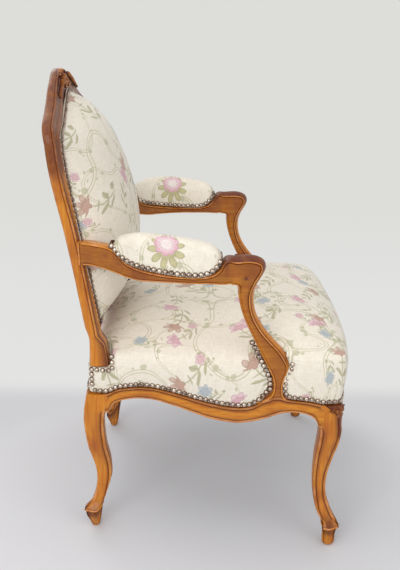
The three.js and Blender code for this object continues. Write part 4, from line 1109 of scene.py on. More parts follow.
@dataclass(frozen=True)
class Motif:
    """A kind of sprig that the cloth repeats.

    Attributes:
        pitch: Distance between its places, in metres.
        reach: The flower's radius as a share of the pitch.
        petals: Number of petals in a full round.
        depth: How deep the petals are cut.
        fan: How far the petals open to each side of the stem's line, in radians.
        chance: Share of the places that hold one.
        inner: Colour of the petals near the middle.
        outer: Colour of the petals' tips.
        line: Colour of the outlines.
        leaf: Colour of the stem and its leaves.
        offset: Moves the places.
        strew: How far a sprig is turned and moved off its place.
        stem: Whether it has a stem.
    """

    pitch: float
    reach: float
    petals: float
    depth: float
    fan: float
    chance: float
    inner: tuple
    outer: tuple
    line: tuple
    leaf: tuple = rgb(176, 176, 138)
    offset: tuple[float, float, float] = (0.0, 0.0, 0.0)
    strew: float = 1.0
    stem: float = 1.0


def flower_group() -> NodeTree:
    """Sprigs over a vector in metres: a fan of petals on a bent stem with leaves, one to a cell of a grid."""
    numbers = ("Pitch", "Reach", "Petals", "Depth", "Fan", "Chance", "Strew", "Stem")
    sheet, given, made = open_group(
        "flowers",
        {
            "Vector": ("vector", None), "Offset": ("vector", None),
            **{name: ("value", 1.0) for name in numbers},
            **{name: ("colour", None) for name in ("Inner", "Outer", "Line", "Leaf")},
        },
        {"Colour": "colour", "Mask": "value", "Relief": "value"},
    )
    take, math_of, between = given.outputs, sheet.math, sheet.between
    waver = sheet.add("ShaderNodeTexNoise", {"Vector": take["Vector"], "Scale": 60.0, "Detail": 2.0})
    about = sheet.vector("SUBTRACT", waver.outputs["Color"], (0.5, 0.5, 0.5))
    drift = sheet.vector("MULTIPLY", about, (0.005, 0.005, 0.0))
    moved = sheet.vector("ADD", sheet.vector("ADD", take["Vector"], drift), take["Offset"])
    scale = math_of("DIVIDE", 1.0, take["Pitch"])
    place = sheet.stretch(moved, scale)
    cell = sheet.vector("FLOOR", place)
    local = sheet.vector("SUBTRACT", sheet.vector("FRACTION", place), (0.5, 0.5, 0.0))
    dice = sheet.add("ShaderNodeTexWhiteNoise", {"Vector": cell}, noise_dimensions="3D")
    luck, tints = dice.outputs["Value"], sheet.split(dice.outputs["Color"])
    about = sheet.vector("SUBTRACT", dice.outputs["Color"], (0.5, 0.5, 0.5))
    off = sheet.stretch(sheet.vector("MULTIPLY", about, (0.22, 0.22, 0.0)), take["Strew"])
    x, y, _ = sheet.split(sheet.vector("SUBTRACT", local, off))
    spin = math_of("MULTIPLY", math_of("MULTIPLY", math_of("SUBTRACT", tints[2], 0.5), 3.4), take["Strew"])
    cosine, sine = math_of("COSINE", spin), math_of("SINE", spin)
    size = math_of("MULTIPLY", take["Reach"], between(tints[0], 0.0, 1.0, 0.84, 1.08))
    turned_x = math_of("SUBTRACT", math_of("MULTIPLY", x, cosine), math_of("MULTIPLY", y, sine))
    turned_y = math_of("ADD", math_of("MULTIPLY", x, sine), math_of("MULTIPLY", y, cosine))
    u = math_of("DIVIDE", turned_x, size)
    v = math_of("SUBTRACT", math_of("DIVIDE", turned_y, size), math_of("MULTIPLY", take["Stem"], 0.5))

    far = math_of("SQRT", math_of("MULTIPLY_ADD", u, u, math_of("MULTIPLY", v, v)))
    turn = math_of("ARCTAN2", u, v)
    half_turn = math_of("MULTIPLY", turn, math_of("MULTIPLY", take["Petals"], 0.5))
    lobe = math_of("ABSOLUTE", math_of("COSINE", half_turn))
    cut_in = math_of("MULTIPLY", take["Depth"], math_of("SUBTRACT", 1.0, math_of("POWER", lobe, 0.8)))
    past = math_of("SUBTRACT", math_of("ABSOLUTE", turn), take["Fan"])
    opened = between(past, -0.1, 0.1, 1.0, 0.0)
    rim = math_of("MULTIPLY_ADD", math_of("SUBTRACT", 1.0, cut_in), math_of("MULTIPLY", opened, 0.82), 0.18)
    inside = math_of("SUBTRACT", rim, far)
    bloom = between(inside, -0.03, 0.04)
    folded = math_of("MULTIPLY_ADD", math_of("ABSOLUTE", math_of("SINE", half_turn)), 0.16, 0.4)
    inner_edge = math_of("SUBTRACT", far, folded)
    petal = sheet.blend(between(inner_edge, -0.06, 0.3), take["Inner"], take["Outer"])
    rays = math_of("SINE", math_of("MULTIPLY", half_turn, 9.0))
    petal = sheet.blend(between(rays, 0.1, 1.0, 0.0, 0.3), petal, take["Line"])
    fold = math_of("MULTIPLY", between(lobe, 0.0, 0.3, 1.0, 0.0), between(far, 0.35, 0.6))
    outline = between(math_of("ABSOLUTE", math_of("SUBTRACT", inside, 0.05)), 0.01, 0.07, 1.0, 0.0)
    second = between(math_of("ABSOLUTE", inner_edge), 0.01, 0.06, 1.0, 0.0)
    lines = math_of("MAXIMUM", math_of("MAXIMUM", fold, outline), second)
    petal = sheet.blend(math_of("MULTIPLY", lines, 0.7), petal, take["Line"])

    bend = math_of("MULTIPLY", math_of("MULTIPLY", v, v), 0.26)
    aside = math_of("ABSOLUTE", math_of("SUBTRACT", u, bend))
    below = math_of("MULTIPLY", between(v, -0.25, -0.1, 1.0, 0.0), between(v, -2.2, -2.0))
    stem = math_of("MULTIPLY", between(aside, 0.03, 0.08, 1.0, 0.0), below)
    out = math_of("DIVIDE", aside, 0.8)
    row = math_of("SUBTRACT", math_of("ADD", v, 2.6), math_of("MULTIPLY", aside, 0.7))
    row = math_of("DIVIDE", row, 0.78)
    rib = math_of("ABSOLUTE", math_of("SUBTRACT", math_of("FRACT", row), 0.5))
    way = math_of("MULTIPLY", math_of("MINIMUM", out, 1.0), math.pi)
    wide = math_of("MULTIPLY", math_of("SINE", way), 0.3)
    leaf = between(math_of("SUBTRACT", rib, wide), -0.06, 0.02, 1.0, 0.0)
    leaf = math_of("MULTIPLY", leaf, between(v, -0.6, -0.5, 1.0, 0.0))
    leaf = math_of("MULTIPLY", leaf, between(v, -2.05, -1.95))
    leaf = math_of("MULTIPLY", leaf, between(out, 0.94, 1.0, 1.0, 0.0))
    green = math_of("MULTIPLY", math_of("MAXIMUM", stem, leaf), take["Stem"])
    blade = sheet.blend(between(rib, 0.02, 0.07, 0.5, 0.0), take["Leaf"], take["Line"])

    mask = math_of("MULTIPLY", math_of("MAXIMUM", bloom, green), math_of("LESS_THAN", luck, take["Chance"]))
    sheet.plug(made.inputs["Colour"], sheet.blend(bloom, blade, petal))
    sheet.plug(made.inputs["Mask"], mask)
    raised = math_of("SUBTRACT", 1.0, math_of("MULTIPLY", lines, bloom))
    sheet.plug(made.inputs["Relief"], math_of("MULTIPLY", mask, raised))
    return sheet.tree


def vine_group() -> NodeTree:
    """Winding stems of two strands with small leaves beside them, over a vector in metres."""
    sheet, given, made = open_group(
        "vines",
        {"Vector": ("vector", None), **{name: ("value", 1.0) for name in ("Scale", "Width", "Leaves")}},
        {"Stem": "value", "Leaf": "value"},
    )
    vector, scale, width = (given.outputs[name] for name in ("Vector", "Scale", "Width"))
    line = sheet.math("ABSOLUTE", sheet.math("SUBTRACT", sheet.noise(vector, scale, 0.0), 0.5))
    strand = sheet.math("ABSOLUTE", sheet.math("SUBTRACT", line, width))
    faded = sheet.math("DIVIDE", strand, sheet.math("MULTIPLY", width, 0.5))
    stem = sheet.math("SUBTRACT", 1.0, faded, clamped=True)
    cells = sheet.add("ShaderNodeTexVoronoi", {"Vector": vector, "Scale": sheet.math("MULTIPLY", scale, 7.0)})
    spot = sheet.between(cells.outputs["Distance"], 0.26, 0.4, 1.0, 0.0)
    dice = sheet.split(cells.outputs["Color"])[0]
    near = sheet.between(line, 0.03, 0.07, 1.0, 0.0)
    some = sheet.math("LESS_THAN", dice, given.outputs["Leaves"])
    leaf = sheet.math("MULTIPLY", sheet.math("MULTIPLY", spot, near), some)
    sheet.plug(made.inputs["Stem"], sheet.between(stem, 0.1, 0.6))
    sheet.plug(made.inputs["Leaf"], sheet.between(leaf, 0.25, 0.5))
    return sheet.tree


LILY = Motif(
    0.165, 0.2, 8, 0.66, 1.45, 0.72, rgb(186, 142, 126), rgb(206, 176, 158), rgb(152, 110, 98),
    offset=(0.08, 0.02, 0.0),
)
FAN = Motif(0.15, 0.18, 7, 0.36, 1.75, 0.62, rgb(214, 160, 178), rgb(230, 198, 206), rgb(184, 136, 154))
ASTER = Motif(
    0.13, 0.14, 6, 0.5, 3.3, 0.5, rgb(164, 178, 188), rgb(192, 201, 203), rgb(138, 150, 160),
    offset=(0.03, 0.05, 3.0),
)
BLOSSOM = Motif(
    0.11, 0.12, 5, 0.3, 3.3, 0.34, rgb(216, 172, 182), rgb(230, 200, 204), rgb(176, 136, 146),
    offset=(0.011, 0.023, 7.0),
)
OLIVE = Motif(
    0.5, 0.074, 9, 0.72, 3.3, 1.0, rgb(178, 172, 116), rgb(190, 184, 132), rgb(146, 140, 92),
    offset=(0.207, 0.247, 0.0), strew=0.0, stem=0.0,
)
ROSETTE = Motif(
    0.5, 0.05, 9, 0.2, 3.3, 1.0, rgb(246, 236, 236), rgb(230, 176, 198), rgb(196, 136, 166),
    offset=(0.219, 0.247, 0.0), strew=0.0, stem=0.0,
)


@dataclass(frozen=True)
class FloweredSilk:
    """Ivory silk with a strewn garden pattern, drawn in the cloth's own coordinates.

    Attributes:
        groups: Shared groups.
        name: Name of the material.
        ground: Colour of the plain cloth.
        shine: Colour of the woven tracery.
        slub: Colour of the thicker threads.
        leaf: Colour of the vines' leaves.
        stem: Colour of the vines' stems.
        vines: Scale, width and place of each layer of vines.
        motifs: Sprigs, from the lowest layer to the highest.
    """

    groups: Finishes
    name: str = "flowered_silk"
    ground: tuple = rgb(234, 226, 211)
    shine: tuple = rgb(241, 234, 221)
    slub: tuple = rgb(190, 174, 146)
    leaf: tuple = rgb(178, 180, 146)
    stem: tuple = rgb(188, 182, 146)
    vines: Table = ((6.5, 0.012, 0.0), (10.0, 0.014, 4.2))
    motifs: tuple[Motif, ...] = (LILY, FAN, ASTER, BLOSSOM)

    def make(self, flowers: NodeTree, vines: NodeTree) -> Material:
        """Builds the material.

        Args:
            flowers: Group of the sprigs.
            vines: Group of the stems and leaves.

        Returns:
            The material.
        """
        material, sheet, shader = start_material(self.name)
        cloth = sheet.add("ShaderNodeUVMap", uv_map="cloth").outputs["UV"]
        tracery = sheet.noise(cloth, 46.0, 1.0, 0.4)
        off_line = sheet.math("ABSOLUTE", sheet.math("SUBTRACT", tracery, 0.5))
        damask = sheet.between(off_line, 0.0, 0.07, 1.0, 0.0)
        tone = sheet.blend(sheet.math("MULTIPLY", damask, 0.6), self.ground, self.shine)
        height = sheet.math("MULTIPLY", damask, 0.3)
        for scale, width, layer in self.vines:
            moved = sheet.vector("ADD", cloth, (0.0, 0.0, layer))
            vine = sheet.group(vines, {"Vector": moved, "Scale": scale, "Width": width, "Leaves": 0.5})
            tone = sheet.blend(sheet.math("MULTIPLY", vine.outputs["Stem"], 0.7), tone, self.stem)
            tone = sheet.blend(sheet.math("MULTIPLY", vine.outputs["Leaf"], 0.66), tone, self.leaf)
            height = sheet.math("MAXIMUM", height, sheet.math("MULTIPLY", vine.outputs["Leaf"], 0.6))
        for motif in self.motifs:
            settings = {name.capitalize(): value for name, value in vars(motif).items()}
            sprig = sheet.group(flowers, {"Vector": cloth, **settings})
            mask = sheet.math("MULTIPLY", sprig.outputs["Mask"], 0.86)
            tone = sheet.blend(mask, tone, sprig.outputs["Colour"])
            height = sheet.math("MAXIMUM", height, sheet.math("MULTIPLY", sprig.outputs["Relief"], 0.8))
        threads = {"Warp": 0.00042, "Weft": 0.0007, "Slub": 0.9}
        weave = sheet.group(self.groups.weave, {"Vector": cloth, **threads})
        tone = sheet.blend(sheet.between(weave.outputs["Slub"], 0.42, 0.6, 0.0, 0.26), tone, self.slub)
        sheet.plug(shader.inputs["Base Color"], tone)
        sheet.plug(shader.inputs["Roughness"], sheet.between(height, 0.0, 0.8, 0.5, 0.62))
        shader.inputs["Sheen Weight"].default_value = 0.2
        shader.inputs["Sheen Roughness"].default_value = 0.35
        relief = sheet.math("MULTIPLY_ADD", weave.outputs["Height"], 0.16, height)
        bump(sheet, shader, relief, 0.0005, 0.6)
        return material


@dataclass(frozen=True)
class Studio:
    """Camera, floor, lamps and background of the photograph.

    Attributes:
        focal: Focal length in pixels of the 400 by 570 picture.
        place: Where the camera stands.
        pitch: How far it looks down, in degrees.
        yaw: How far it is turned, in degrees.
        roll: How far it is tilted, in degrees.
        picture_height: Height of that picture, in pixels.
        floor_albedo: The floor's own colour under the chair.
        floor_tone: The tone that the floor shows.
        wall_tone: The tone that the wall's foot shows.
        sky_tone: The tone of the background.
        lamps: Name, place, size and power of each lamp.
        aim: What the lamps shine at.
    """

    focal: float = 801.88
    place: tuple[float, float, float] = (-1.7521, 0.0533, 1.0996)
    pitch: float = 19.153
    yaw: float = -0.9218
    roll: float = 0.9399
    picture_height: float = 570.0
    floor_albedo: tuple = rgb(216, 216, 219)
    floor_tone: tuple = rgb(208, 208, 210)
    wall_tone: tuple = rgb(227, 227, 226)
    sky_tone: tuple = rgb(221, 221, 218)
    lamps: tuple = (
        ("key", (-2.6, 1.0, 1.8), 2.2, 36.0), ("fill", (-2.0, -1.6, 1.5), 1.8, 8.0),
        ("top", (-0.3, 0.6, 3.0), 2.6, 14.0), ("rim", (2.0, 1.2, 1.9), 1.6, 9.0),
    )
    aim: tuple[float, float, float] = (0.0, 0.0, 0.45)

    def camera(self) -> None:
        """Sets up the camera."""
        pitch, yaw, roll = (math.radians(a) for a in (self.pitch, self.yaw, self.roll))
        forward = Vector((math.cos(yaw) * math.cos(pitch), math.sin(yaw) * math.cos(pitch), -math.sin(pitch)))
        level = Vector((math.sin(yaw), -math.cos(yaw), 0.0))
        upright = level.cross(forward)
        right = math.cos(roll) * level + math.sin(roll) * upright
        above = math.cos(roll) * upright - math.sin(roll) * level
        data = bpy.data.cameras.new("camera")
        data.sensor_fit, data.sensor_height = "VERTICAL", 36.0
        data.lens = self.focal / self.picture_height * data.sensor_height
        made = bpy.data.objects.new("camera", data)
        turn = Matrix((right, above, -forward)).transposed().to_4x4()
        made.matrix_world = Matrix.Translation(Vector(self.place) + Vector((0, SHIFT * MM, 0))) @ turn
        bpy.context.scene.collection.objects.link(made)
        bpy.context.scene.camera = made

    @staticmethod
    def seen(sheet: Sheet) -> NodeSocket:
        """One for rays that show a surface, and nothing for rays that only light the chair."""
        path = sheet.add("ShaderNodeLightPath").outputs
        seen = sheet.math("MAXIMUM", path["Is Camera Ray"], path["Is Glossy Ray"])
        return sheet.math("MAXIMUM", seen, path["Is Transmission Ray"])

    def floor(self) -> None:
        """Lays the floor, which shows the backdrop's own tone away from the chair."""
        bm = bmesh.new()
        bmesh.ops.create_grid(bm, x_segments=1, y_segments=1, size=30.0)
        mesh = bpy.data.meshes.new("floor")
        bm.to_mesh(mesh)
        bm.free()
        plane = bpy.data.objects.new("floor", mesh)
        bpy.context.scene.collection.objects.link(plane)
        material, sheet, shader = start_material("floor")
        place = sheet.place()
        x, y, _ = sheet.split(place)
        sheet.plug(shader.inputs["Base Color"], self.floor_albedo)
        sheet.plug(shader.inputs["Roughness"], sheet.between(sheet.noise(place, 6.0), 0.3, 0.7, 0.8, 0.95))
        shader.inputs["Specular IOR Level"].default_value = 0.1
        tone = sheet.blend(sheet.between(x, 0.36, 0.5), self.floor_tone, self.wall_tone)
        tone = sheet.blend(sheet.between(x, 0.5, 3.0), tone, self.sky_tone)
        glow = sheet.add("ShaderNodeEmission", {"Color": tone})
        off = sheet.math("ADD", x, 0.25)
        far = sheet.math("SQRT", sheet.math("MULTIPLY_ADD", off, off, sheet.math("MULTIPLY", y, y)))
        seen = self.seen(sheet)
        share = sheet.math("MULTIPLY", sheet.between(far, 0.58, 0.74), seen)
        both = sheet.add("ShaderNodeMixShader", {0: share, 1: shader.outputs[0], 2: glow.outputs[0]})
        out = next(n for n in material.node_tree.nodes if n.type == "OUTPUT_MATERIAL")
        sheet.plug(out.inputs["Surface"], both.outputs[0])
        mesh.materials.append(material)

    def lamp(self, name: str, place: Sequence[float], size: float, power: float) -> None:
        """Hangs a soft lamp that shines at the chair.

        Args:
            name: Its name.
            place: Where it hangs.
            size: Its diameter.
            power: Its power.
        """
        data = bpy.data.lights.new(name, "AREA")
        data.shape, data.size, data.energy = "DISK", size, power
        made = bpy.data.objects.new(name, data)
        made.location = place
        made.rotation_euler = (Vector(self.aim) - Vector(place)).to_track_quat("-Z", "Y").to_euler()
        bpy.context.scene.collection.objects.link(made)

    def background(self) -> None:
        """Lights the world evenly, and shows it pale."""
        world = bpy.data.worlds.new("studio")
        world.use_nodes = True
        sheet = Sheet(world.node_tree)
        back = next(n for n in world.node_tree.nodes if n.type == "BACKGROUND")
        seen = self.seen(sheet)
        sheet.plug(back.inputs["Color"], sheet.blend(seen, (1.0, 1.0, 1.0, 1.0), self.sky_tone))
        sheet.plug(back.inputs["Strength"], sheet.between(seen, 0.0, 1.0, 0.68, 1.0))
        bpy.context.scene.world = world

    def build(self) -> None:
        """Makes the whole studio."""
        self.camera()
        self.floor()
        self.background()
        for lamp in self.lamps:
            self.lamp(*lamp)
        bpy.context.scene.view_settings.view_transform = "Standard"


def rounded(value: float, sharpness: float = 8.0, draw: float = 0.055) -> float:
    """How far a side draws in towards a corner."""
    return 1.0 - draw * abs(value) ** sharpness


@dataclass(frozen=True)
class CabrioleLegs:
    """The four legs, with the stiles that the rear ones run into.

    Attributes:
        front_swing: How far a front leg swings forward of its post.
        front_splay: How far it swings outwards.
        front_bend: Its swing inwards, as a share of the CAD leg's.
        rear_swing: How far a rear leg swings back.
        rear_splay: How far it swings outwards.
        rear_draw: How far its shin is drawn in, as a share of the swing.
        blend_from: Height from which a front leg follows the bowed rail, as a share of the leg.
        ankle: Height of the lowest ring over the rim.
        moulding: Section of the legs.
        front_foot: Heights and half widths of the block under a front leg, as shares of the post.
        rear_foot: The same under a rear leg.
        ledge: Heights, widths against the leg's end, recess and arris of the rim over the block.
    """

    front_swing: float = 15.0
    front_splay: float = 9.0
    front_bend: float = 0.66
    rear_swing: float = 15.0
    rear_splay: float = 7.0
    rear_draw: float = 0.33
    blend_from: float = 0.5
    ankle: float = 48.5
    moulding: Moulding = Moulding(corner=3.4, quirk=6.4, depth=1.7, crown=1.3)
    front_foot: tuple = (
        (0, 0.22), (1.6, 0.4), (5, 0.51), (12, 0.55), (24, 0.56), (31, 0.57), (36, 0.6), (39.5, 0.63),
    )
    rear_foot: tuple = (
        (0, 0.2), (1.6, 0.3), (5, 0.37), (11, 0.45), (19, 0.58), (27, 0.7), (34, 0.79), (39.5, 0.84),
    )
    ledge: tuple = (
        (40.6, 0.86, 1, 0), (41.6, 0.98, 0.3, 0.6), (43.2, 1.03, 0, 1), (45.2, 1.03, 0, 1),
        (46.4, 0.97, 0.5, 0.4), (47.2, 0.94, 1, 0),
    )

    def foot_rings(
        self, station: Callable[[float], tuple[Vector, float, float]], block: Table, base: float
    ) -> list[Ring]:
        """Rings of the block and of the rim under a leg's toe.

        Args:
            station: The leg's middle and half sizes by height.
            block: The block's table.
            base: Half of the post's width.

        Returns:
            The rings, from the floor upwards.
        """
        middle, half_x, half_y = station(self.ankle)
        rings = []
        for z, half in block:
            size = base * half
            # Painted shadow: the block's top, under the rim, is marked darker.
            shade = 0.1 + 0.7 * ease((z - 20) / 14)
            outline = self.moulding.outline(size, size, size * 0.8)
            ring = ring_at(Vector((middle.x, middle.y, z)), X, Y, outline)
            rings.append([(point, max(recess * 0.2, shade), 0.0) for point, recess, _ in ring])
        for z, share, recess, arris in self.ledge:
            outline = self.moulding.outline(half_x * share, half_y * share, min(half_x, half_y) * 0.8)
            ring = ring_at(Vector((middle.x, middle.y, z)), X, Y, outline)
            rings.append([(point, recess, arris) for point, _, _ in ring])
        return rings

    def shank(self, middle: Vector, half_x: float, half_y: float, ends: dict[int, Ends]) -> Ring:
        """A ring of a leg, round at the ankle and square under the rail.

        Args:
            middle: The ring's middle.
            half_x: Half width.
            half_y: Half depth.
            ends: Grooves of single faces.

        Returns:
            The ring.
        """
        corner = mix(self.moulding.corner, min(half_x, half_y) * 0.8, ease((74 - middle.z) / 22))
        corner = mix(0.5, corner, ease((300 - middle.z) / 14))
        return ring_at(middle, X, Y, self.moulding.outline(half_x, half_y, corner, ends))

    def shod(
        self, rings: list[Ring], toe: Vector, lift: float, reach: float, heel: float, tuck: float
    ) -> list[Ring]:
        """Shapes the foot at the lower end of a leg.

        Args:
            rings: The leg's rings.
            toe: Direction of the toe.
            lift: How far the toe is lifted.
            reach: How far it is drawn out.
            heel: How far the rim is lifted on the side away from it.
            tuck: How far the inner side is drawn in.

        Returns:
            The moved rings.
        """
        result = []
        for ring in rings:
            middle = sum((point for point, *_ in ring), Vector()) / len(ring)
            size = max((point - middle).dot(toe) for point, *_ in ring)
            fade = ease((78 - middle.z) / 30) if middle.z > 40 else 0.0
            rise = heel * ease((middle.z - 8) / 32) * ease((132 - middle.z) / 78)
            moved = []
            for point, recess, arris in ring:
                along = (point - middle).dot(toe) / size
                inward = clamp((point - middle).dot(Z.cross(toe)) / size)
                push = toe * (reach * clamp(along) ** 4 - tuck * clamp(along) * inward)
                push = (push + Z * lift * clamp(along) ** 2) * fade + Z * rise * clamp(0.15 - along) ** 1.6
                moved.append((point + push, recess, arris))
            result.append(moved)
        return result

    def front(self, side: Side, wood: Material) -> Object:
        """A front leg.

        Args:
            side: The chair's side.
            wood: The wood's finish.

        Returns:
            The piece.
        """
        top = PLAN.leg_top_front
        base = PLAN.front_post / 2

        def station(z: float) -> tuple[Vector, float, float]:
            """Middle, half width and half depth at a height.

            Args:
                z: The height.

            Returns:
                The three measures.
            """
            height = z / top
            swing, half = (read(FRONT_LEG_SHARES, height, k) for k in (1, 2))
            swing *= self.front_bend if swing < 0 else 1.0
            low = ease((84 - z) / 34)
            swing += 0.24 * low
            half *= 1 - 0.16 * low
            x = PLAN.front_post_x + self.front_splay * swing
            blend = clamp((height - self.blend_from) / (1 - self.blend_from))
            bow = PLAN.front_bow(x) / 2 * blend
            y = PLAN.front_post_y - self.front_swing * swing - bow
            return Vector((x, y, z)), base * half, base * half + bow

        skin = Skin()
        rings = self.foot_rings(station, self.front_foot, base)
        for z in steps(76, self.ankle, top - 1.0):
            middle, half_x, half_y = station(z)
            sweep = 30.0 * clamp((z - 300) / 38) ** 1.8
            fade = ease((297 - z) / 24)
            quirk, tight = self.moulding.quirk, mix(1.6, self.moulding.quirk, fade)
            ends = {0: ((quirk + sweep, 1.0), (tight, fade)), 3: ((tight, fade), (quirk + sweep, 1.0))}
            ring = self.shank(middle, half_x, half_y, ends)
            # Painted shade: the lower leg is marked darker towards the foot, except on its pale edges.
            shade = 0.8 * ease((92 - z) / 40)
            marked = []
            for point, recess, arris in ring:
                near = max(point.y - (middle.y - half_y), middle.x + half_x - point.x)
                knee = ease((z - 246) / 26) * ease((quirk + sweep + 4.5 - near) / 4)
                pull = 5.5 * ease((z - 282) / 24) * clamp(1 - near / 14)
                dark = max(recess, shade * (1 - arris), 0.95 * knee)
                marked.append((point + Vector((-pull, pull, 0)), dark, arris * (1 - 0.7 * knee)))
            rings.append(marked)
        skin.sweep(self.shod(rings, Vector((0.42, -0.9, 0.0)), 7.0, 3.0, 9.0, 0.0))
        post = Moulding(grooved=(False,) * 4)
        middle, half_x, half_y = station(top)
        core = post.outline(half_x - 5.2, half_y - 5.2)
        middle += Vector((-5, 5, -top))
        skin.sweep([ring_at(middle + Z * z, X, Y, core) for z in (top - 8, PLAN.rail_top - 1)])
        self.knee(skin, top)
        node = f"front_leg_{side.value}"
        return skin.finish(f"{node}_carved", wood, SHOW_WOOD, [node], flip=side.flip)

    def knee(self, skin: Skin, top: float) -> None:
        """Carves the flower and its leaves on the corner of a front leg.

        Args:
            skin: The leg's mesh.
            top: Top of the leg's shaped part.
        """
        out = Vector((0.72, -0.69, 0.0))
        along = Z.cross(out)
        corner = Vector((PLAN.front_half - 7.4, -PLAN.half_depth + 2.6, top - 17.0))
        face = Matrix((along, Z, out)).transposed().to_4x4()
        middle = Matrix.Translation(corner) @ face
        skin.flower(middle, 5, (7.4, 0, -0.5), (7.2, 5.8, 4.8), (3.8, 3.8, 6.2), (14, 8), (0.8, 0.7))
        leaves = (
            (0, -22, -90, 15), (-10, -11, -128, 12), (10, -11, -52, 12), (-16, 4, 168, 10),
            (16, 4, 12, 10), (0, -40, -90, 11), (-5, 12, 140, 7), (5, 12, 40, 7),
        )
        for aside, down, angle, long in leaves:
            back = 2.0 + abs(aside) * 0.3 + 0.05 * max(0, -down - 20)
            turn = Matrix.Rotation(math.radians(angle), 4, "Z")
            place = Matrix.Translation(corner + along * aside + Z * down - out * back) @ face @ turn
            skin.lump(place, (long * 0.94, 4.8, 4.0), leaf_shape, (16, 8), 0.85)

    def rear(self, side: Side, wood: Material) -> Object:
        """A rear leg and its stile.

        Args:
            side: The chair's side.
            wood: The wood's finish.

        Returns:
            The piece.
        """
        top = PLAN.leg_top_rear
        base_x, base_y = PLAN.rear_post_width / 2, PLAN.rear_post_depth / 2

        def station(z: float) -> tuple[Vector, float, float]:
            """Middle, half width and half depth at a height.

            Args:
                z: The height.

            Returns:
                The three measures.
            """
            swing, half = (read(REAR_LEG_SHARES, z / top, k) for k in (1, 2))
            swing -= self.rear_draw * ease((z - 42) / 20) * ease((210 - z) / 80)
            x = PLAN.rear_post_x + self.rear_splay * swing
            y = PLAN.rear_post_y + self.rear_swing * swing
            return Vector((x, y, z)), base_x * half, base_y * half

        skin = Skin()
        rings = self.foot_rings(station, self.rear_foot, base_y)
        quirk = self.moulding.quirk
        for z in steps(76, self.ankle, top - 1.0):
            middle, half_x, half_y = station(z)
            fade = ease((293 - z) / 8)
            strengths = {0: (fade, 0.0), 1: (0.0, 0.6), 3: (fade, fade)}
            ends = {k: ((quirk, first), (quirk, last)) for k, (first, last) in strengths.items()}
            ring = self.shank(middle, half_x, half_y, ends)
            # Painted shade: the lower leg is marked darker towards the foot, except on its pale edges.
            shade = 0.45 * ease((84 - z) / 34)
            rings.append([(point, max(dark, shade * (1 - arris)), arris) for point, dark, arris in ring])
        skin.sweep(self.shod(rings, Vector((0.3, 0.95, 0.0)), 4.0, 1.5, 38.0, 16.0))
        post = Moulding(grooved=(False,) * 4)
        middle = Vector((PLAN.rear_post_x - 5.2, PLAN.rear_post_y - 3.2, 0))
        core = post.outline(base_x - 5.4, base_y - 7.4)
        skin.sweep([ring_at(middle + Z * z, X, Y, core) for z in (top - 8, PLAN.stile_foot - 3)])
        rings = []
        for share in steps(96):
            z = mix(PLAN.stile_foot, PLAN.shoulder_height, share)
            foot = clamp(read(STILE_SHARES, share, 3))
            origin = Vector((PLAN.frame_x(z), PLAN.frame_y(z) - 3.0 * foot, z))
            # Painted shade: the stile is marked darker towards its shoulder, where it turns up into the
            # crest.
            dark = 0.85 * ease((share - 0.8) / 0.12)
            block = ease((462 - z) / 24)
            half = mix(PLAN.stile_depth, PLAN.stile_foot_depth, foot) / 2
            half = mix(half, 254 - origin.y, ease((480 - z) / 34))
            section = frame_section(PLAN.stile_width / 2, half, mix(1.0, 0.3, block), dark, 16.0 * block)
            rings.append(ring_at(origin, X, Y, section))
        foot_ring = [(point + Z * 1.2, recess, arris) for point, recess, arris in rings[0]]
        skin.sweep([scaled(rings[0], 0.93, 0.6), foot_ring, *rings[1:]])
        node = f"rear_leg_{side.value}"
        return skin.finish(f"{node}_carved", wood, SHOW_WOOD, [node], flip=side.flip)

    def build(self, wood: Material) -> None:
        """Makes the four legs."""
        for side in Side:
            self.front(side, wood)
            self.rear(side, wood)
            log.info("legs on the %s", side.value)


def frame_section(
    half_u: float, half_v: float, front: float = 1.0, dark: float = 0.0, deeper: float = 0.0
) -> list[Station]:
    """The back frame's section: +u points out of the opening and -v to the front.

    Args:
        half_u: Half width.
        half_v: Half depth of the back part, from the middle line.
        front: Depth of the moulded front, as a share of the plain one.
        dark: Least darkness of the wood, which paints the shade on the upper stiles and the crest.
        deeper: How far the whole front is brought forward.

    Returns:
        Points as u, v, recess and arris.
    """
    out, inner = half_u, -half_u
    rows = (
        (out - 5.4, half_v, 0, 0.3), (out - 2.6, half_v - 0.9, 0, 0.7), (out - 0.7, half_v - 2.9, 0, 0.7),
        (out + 0.1, half_v - 5.6, 0, 0.2), (out + 0.9, 5.4, 0, 0), (out + 0.9, 1.8, 0, 0),
        (out + 0.2, -1.3, 0.15, 0.4), (out - 1.5, -2.8, 1, 0), (out, -4.3, 0.1, 0.9), (out + 0.1, -6.0, 0, 1),
        (out - 1.0, -7.4, 0.3, 0.7), (out - 3.2, -7.8, 0.95, 0), (out - 7.0, -7.6, 0.85, 0),
        (out - 12.0, -8.4, 0.6, 0), (out - 16.0, -10.2, 0.3, 0.3), (out - 19.5, -12.2, 0, 0.9),
        (out - 23.5, -12.8, 0, 1), (inner + 12.0, -12.3, 0.1, 0.9), (inner + 10.4, -10.9, 0.9, 0),
        (inner + 8.0, -10.5, 0.9, 0), (inner, -10.5, 0.4, 0), (inner, half_v - 4.4, 0, 0.4),
        (inner + 1.2, half_v - 1.4, 0, 0.6), (inner + 4.0, half_v, 0, 0.3),
    )
    result = []
    for u, v, recess, arris in rows:
        v = v if v > -2 else -2 + (v + 2) * front - deeper
        result.append((u, v, max(recess, dark), arris * (1 - 0.6 * dark)))
    return result


def trace(rows: Table, count: int) -> list[list[float]]:
    """Points evenly along a smooth curve through a table's first two columns.

    Args:
        rows: The table.
        count: Number of points.

    Returns:
        The points, with the table's other columns.
    """
    lengths = [0.0]
    for before, after in zip(rows, rows[1:]):
        lengths.append(lengths[-1] + math.hypot(after[0] - before[0], (after[1] - before[1]) * 0.36))
    marked = [(length, *row) for length, row in zip(lengths, rows)]
    return [[read(marked, at, k + 1) for k in range(len(rows[0]))] for at in steps(count, 0.0, lengths[-1])]


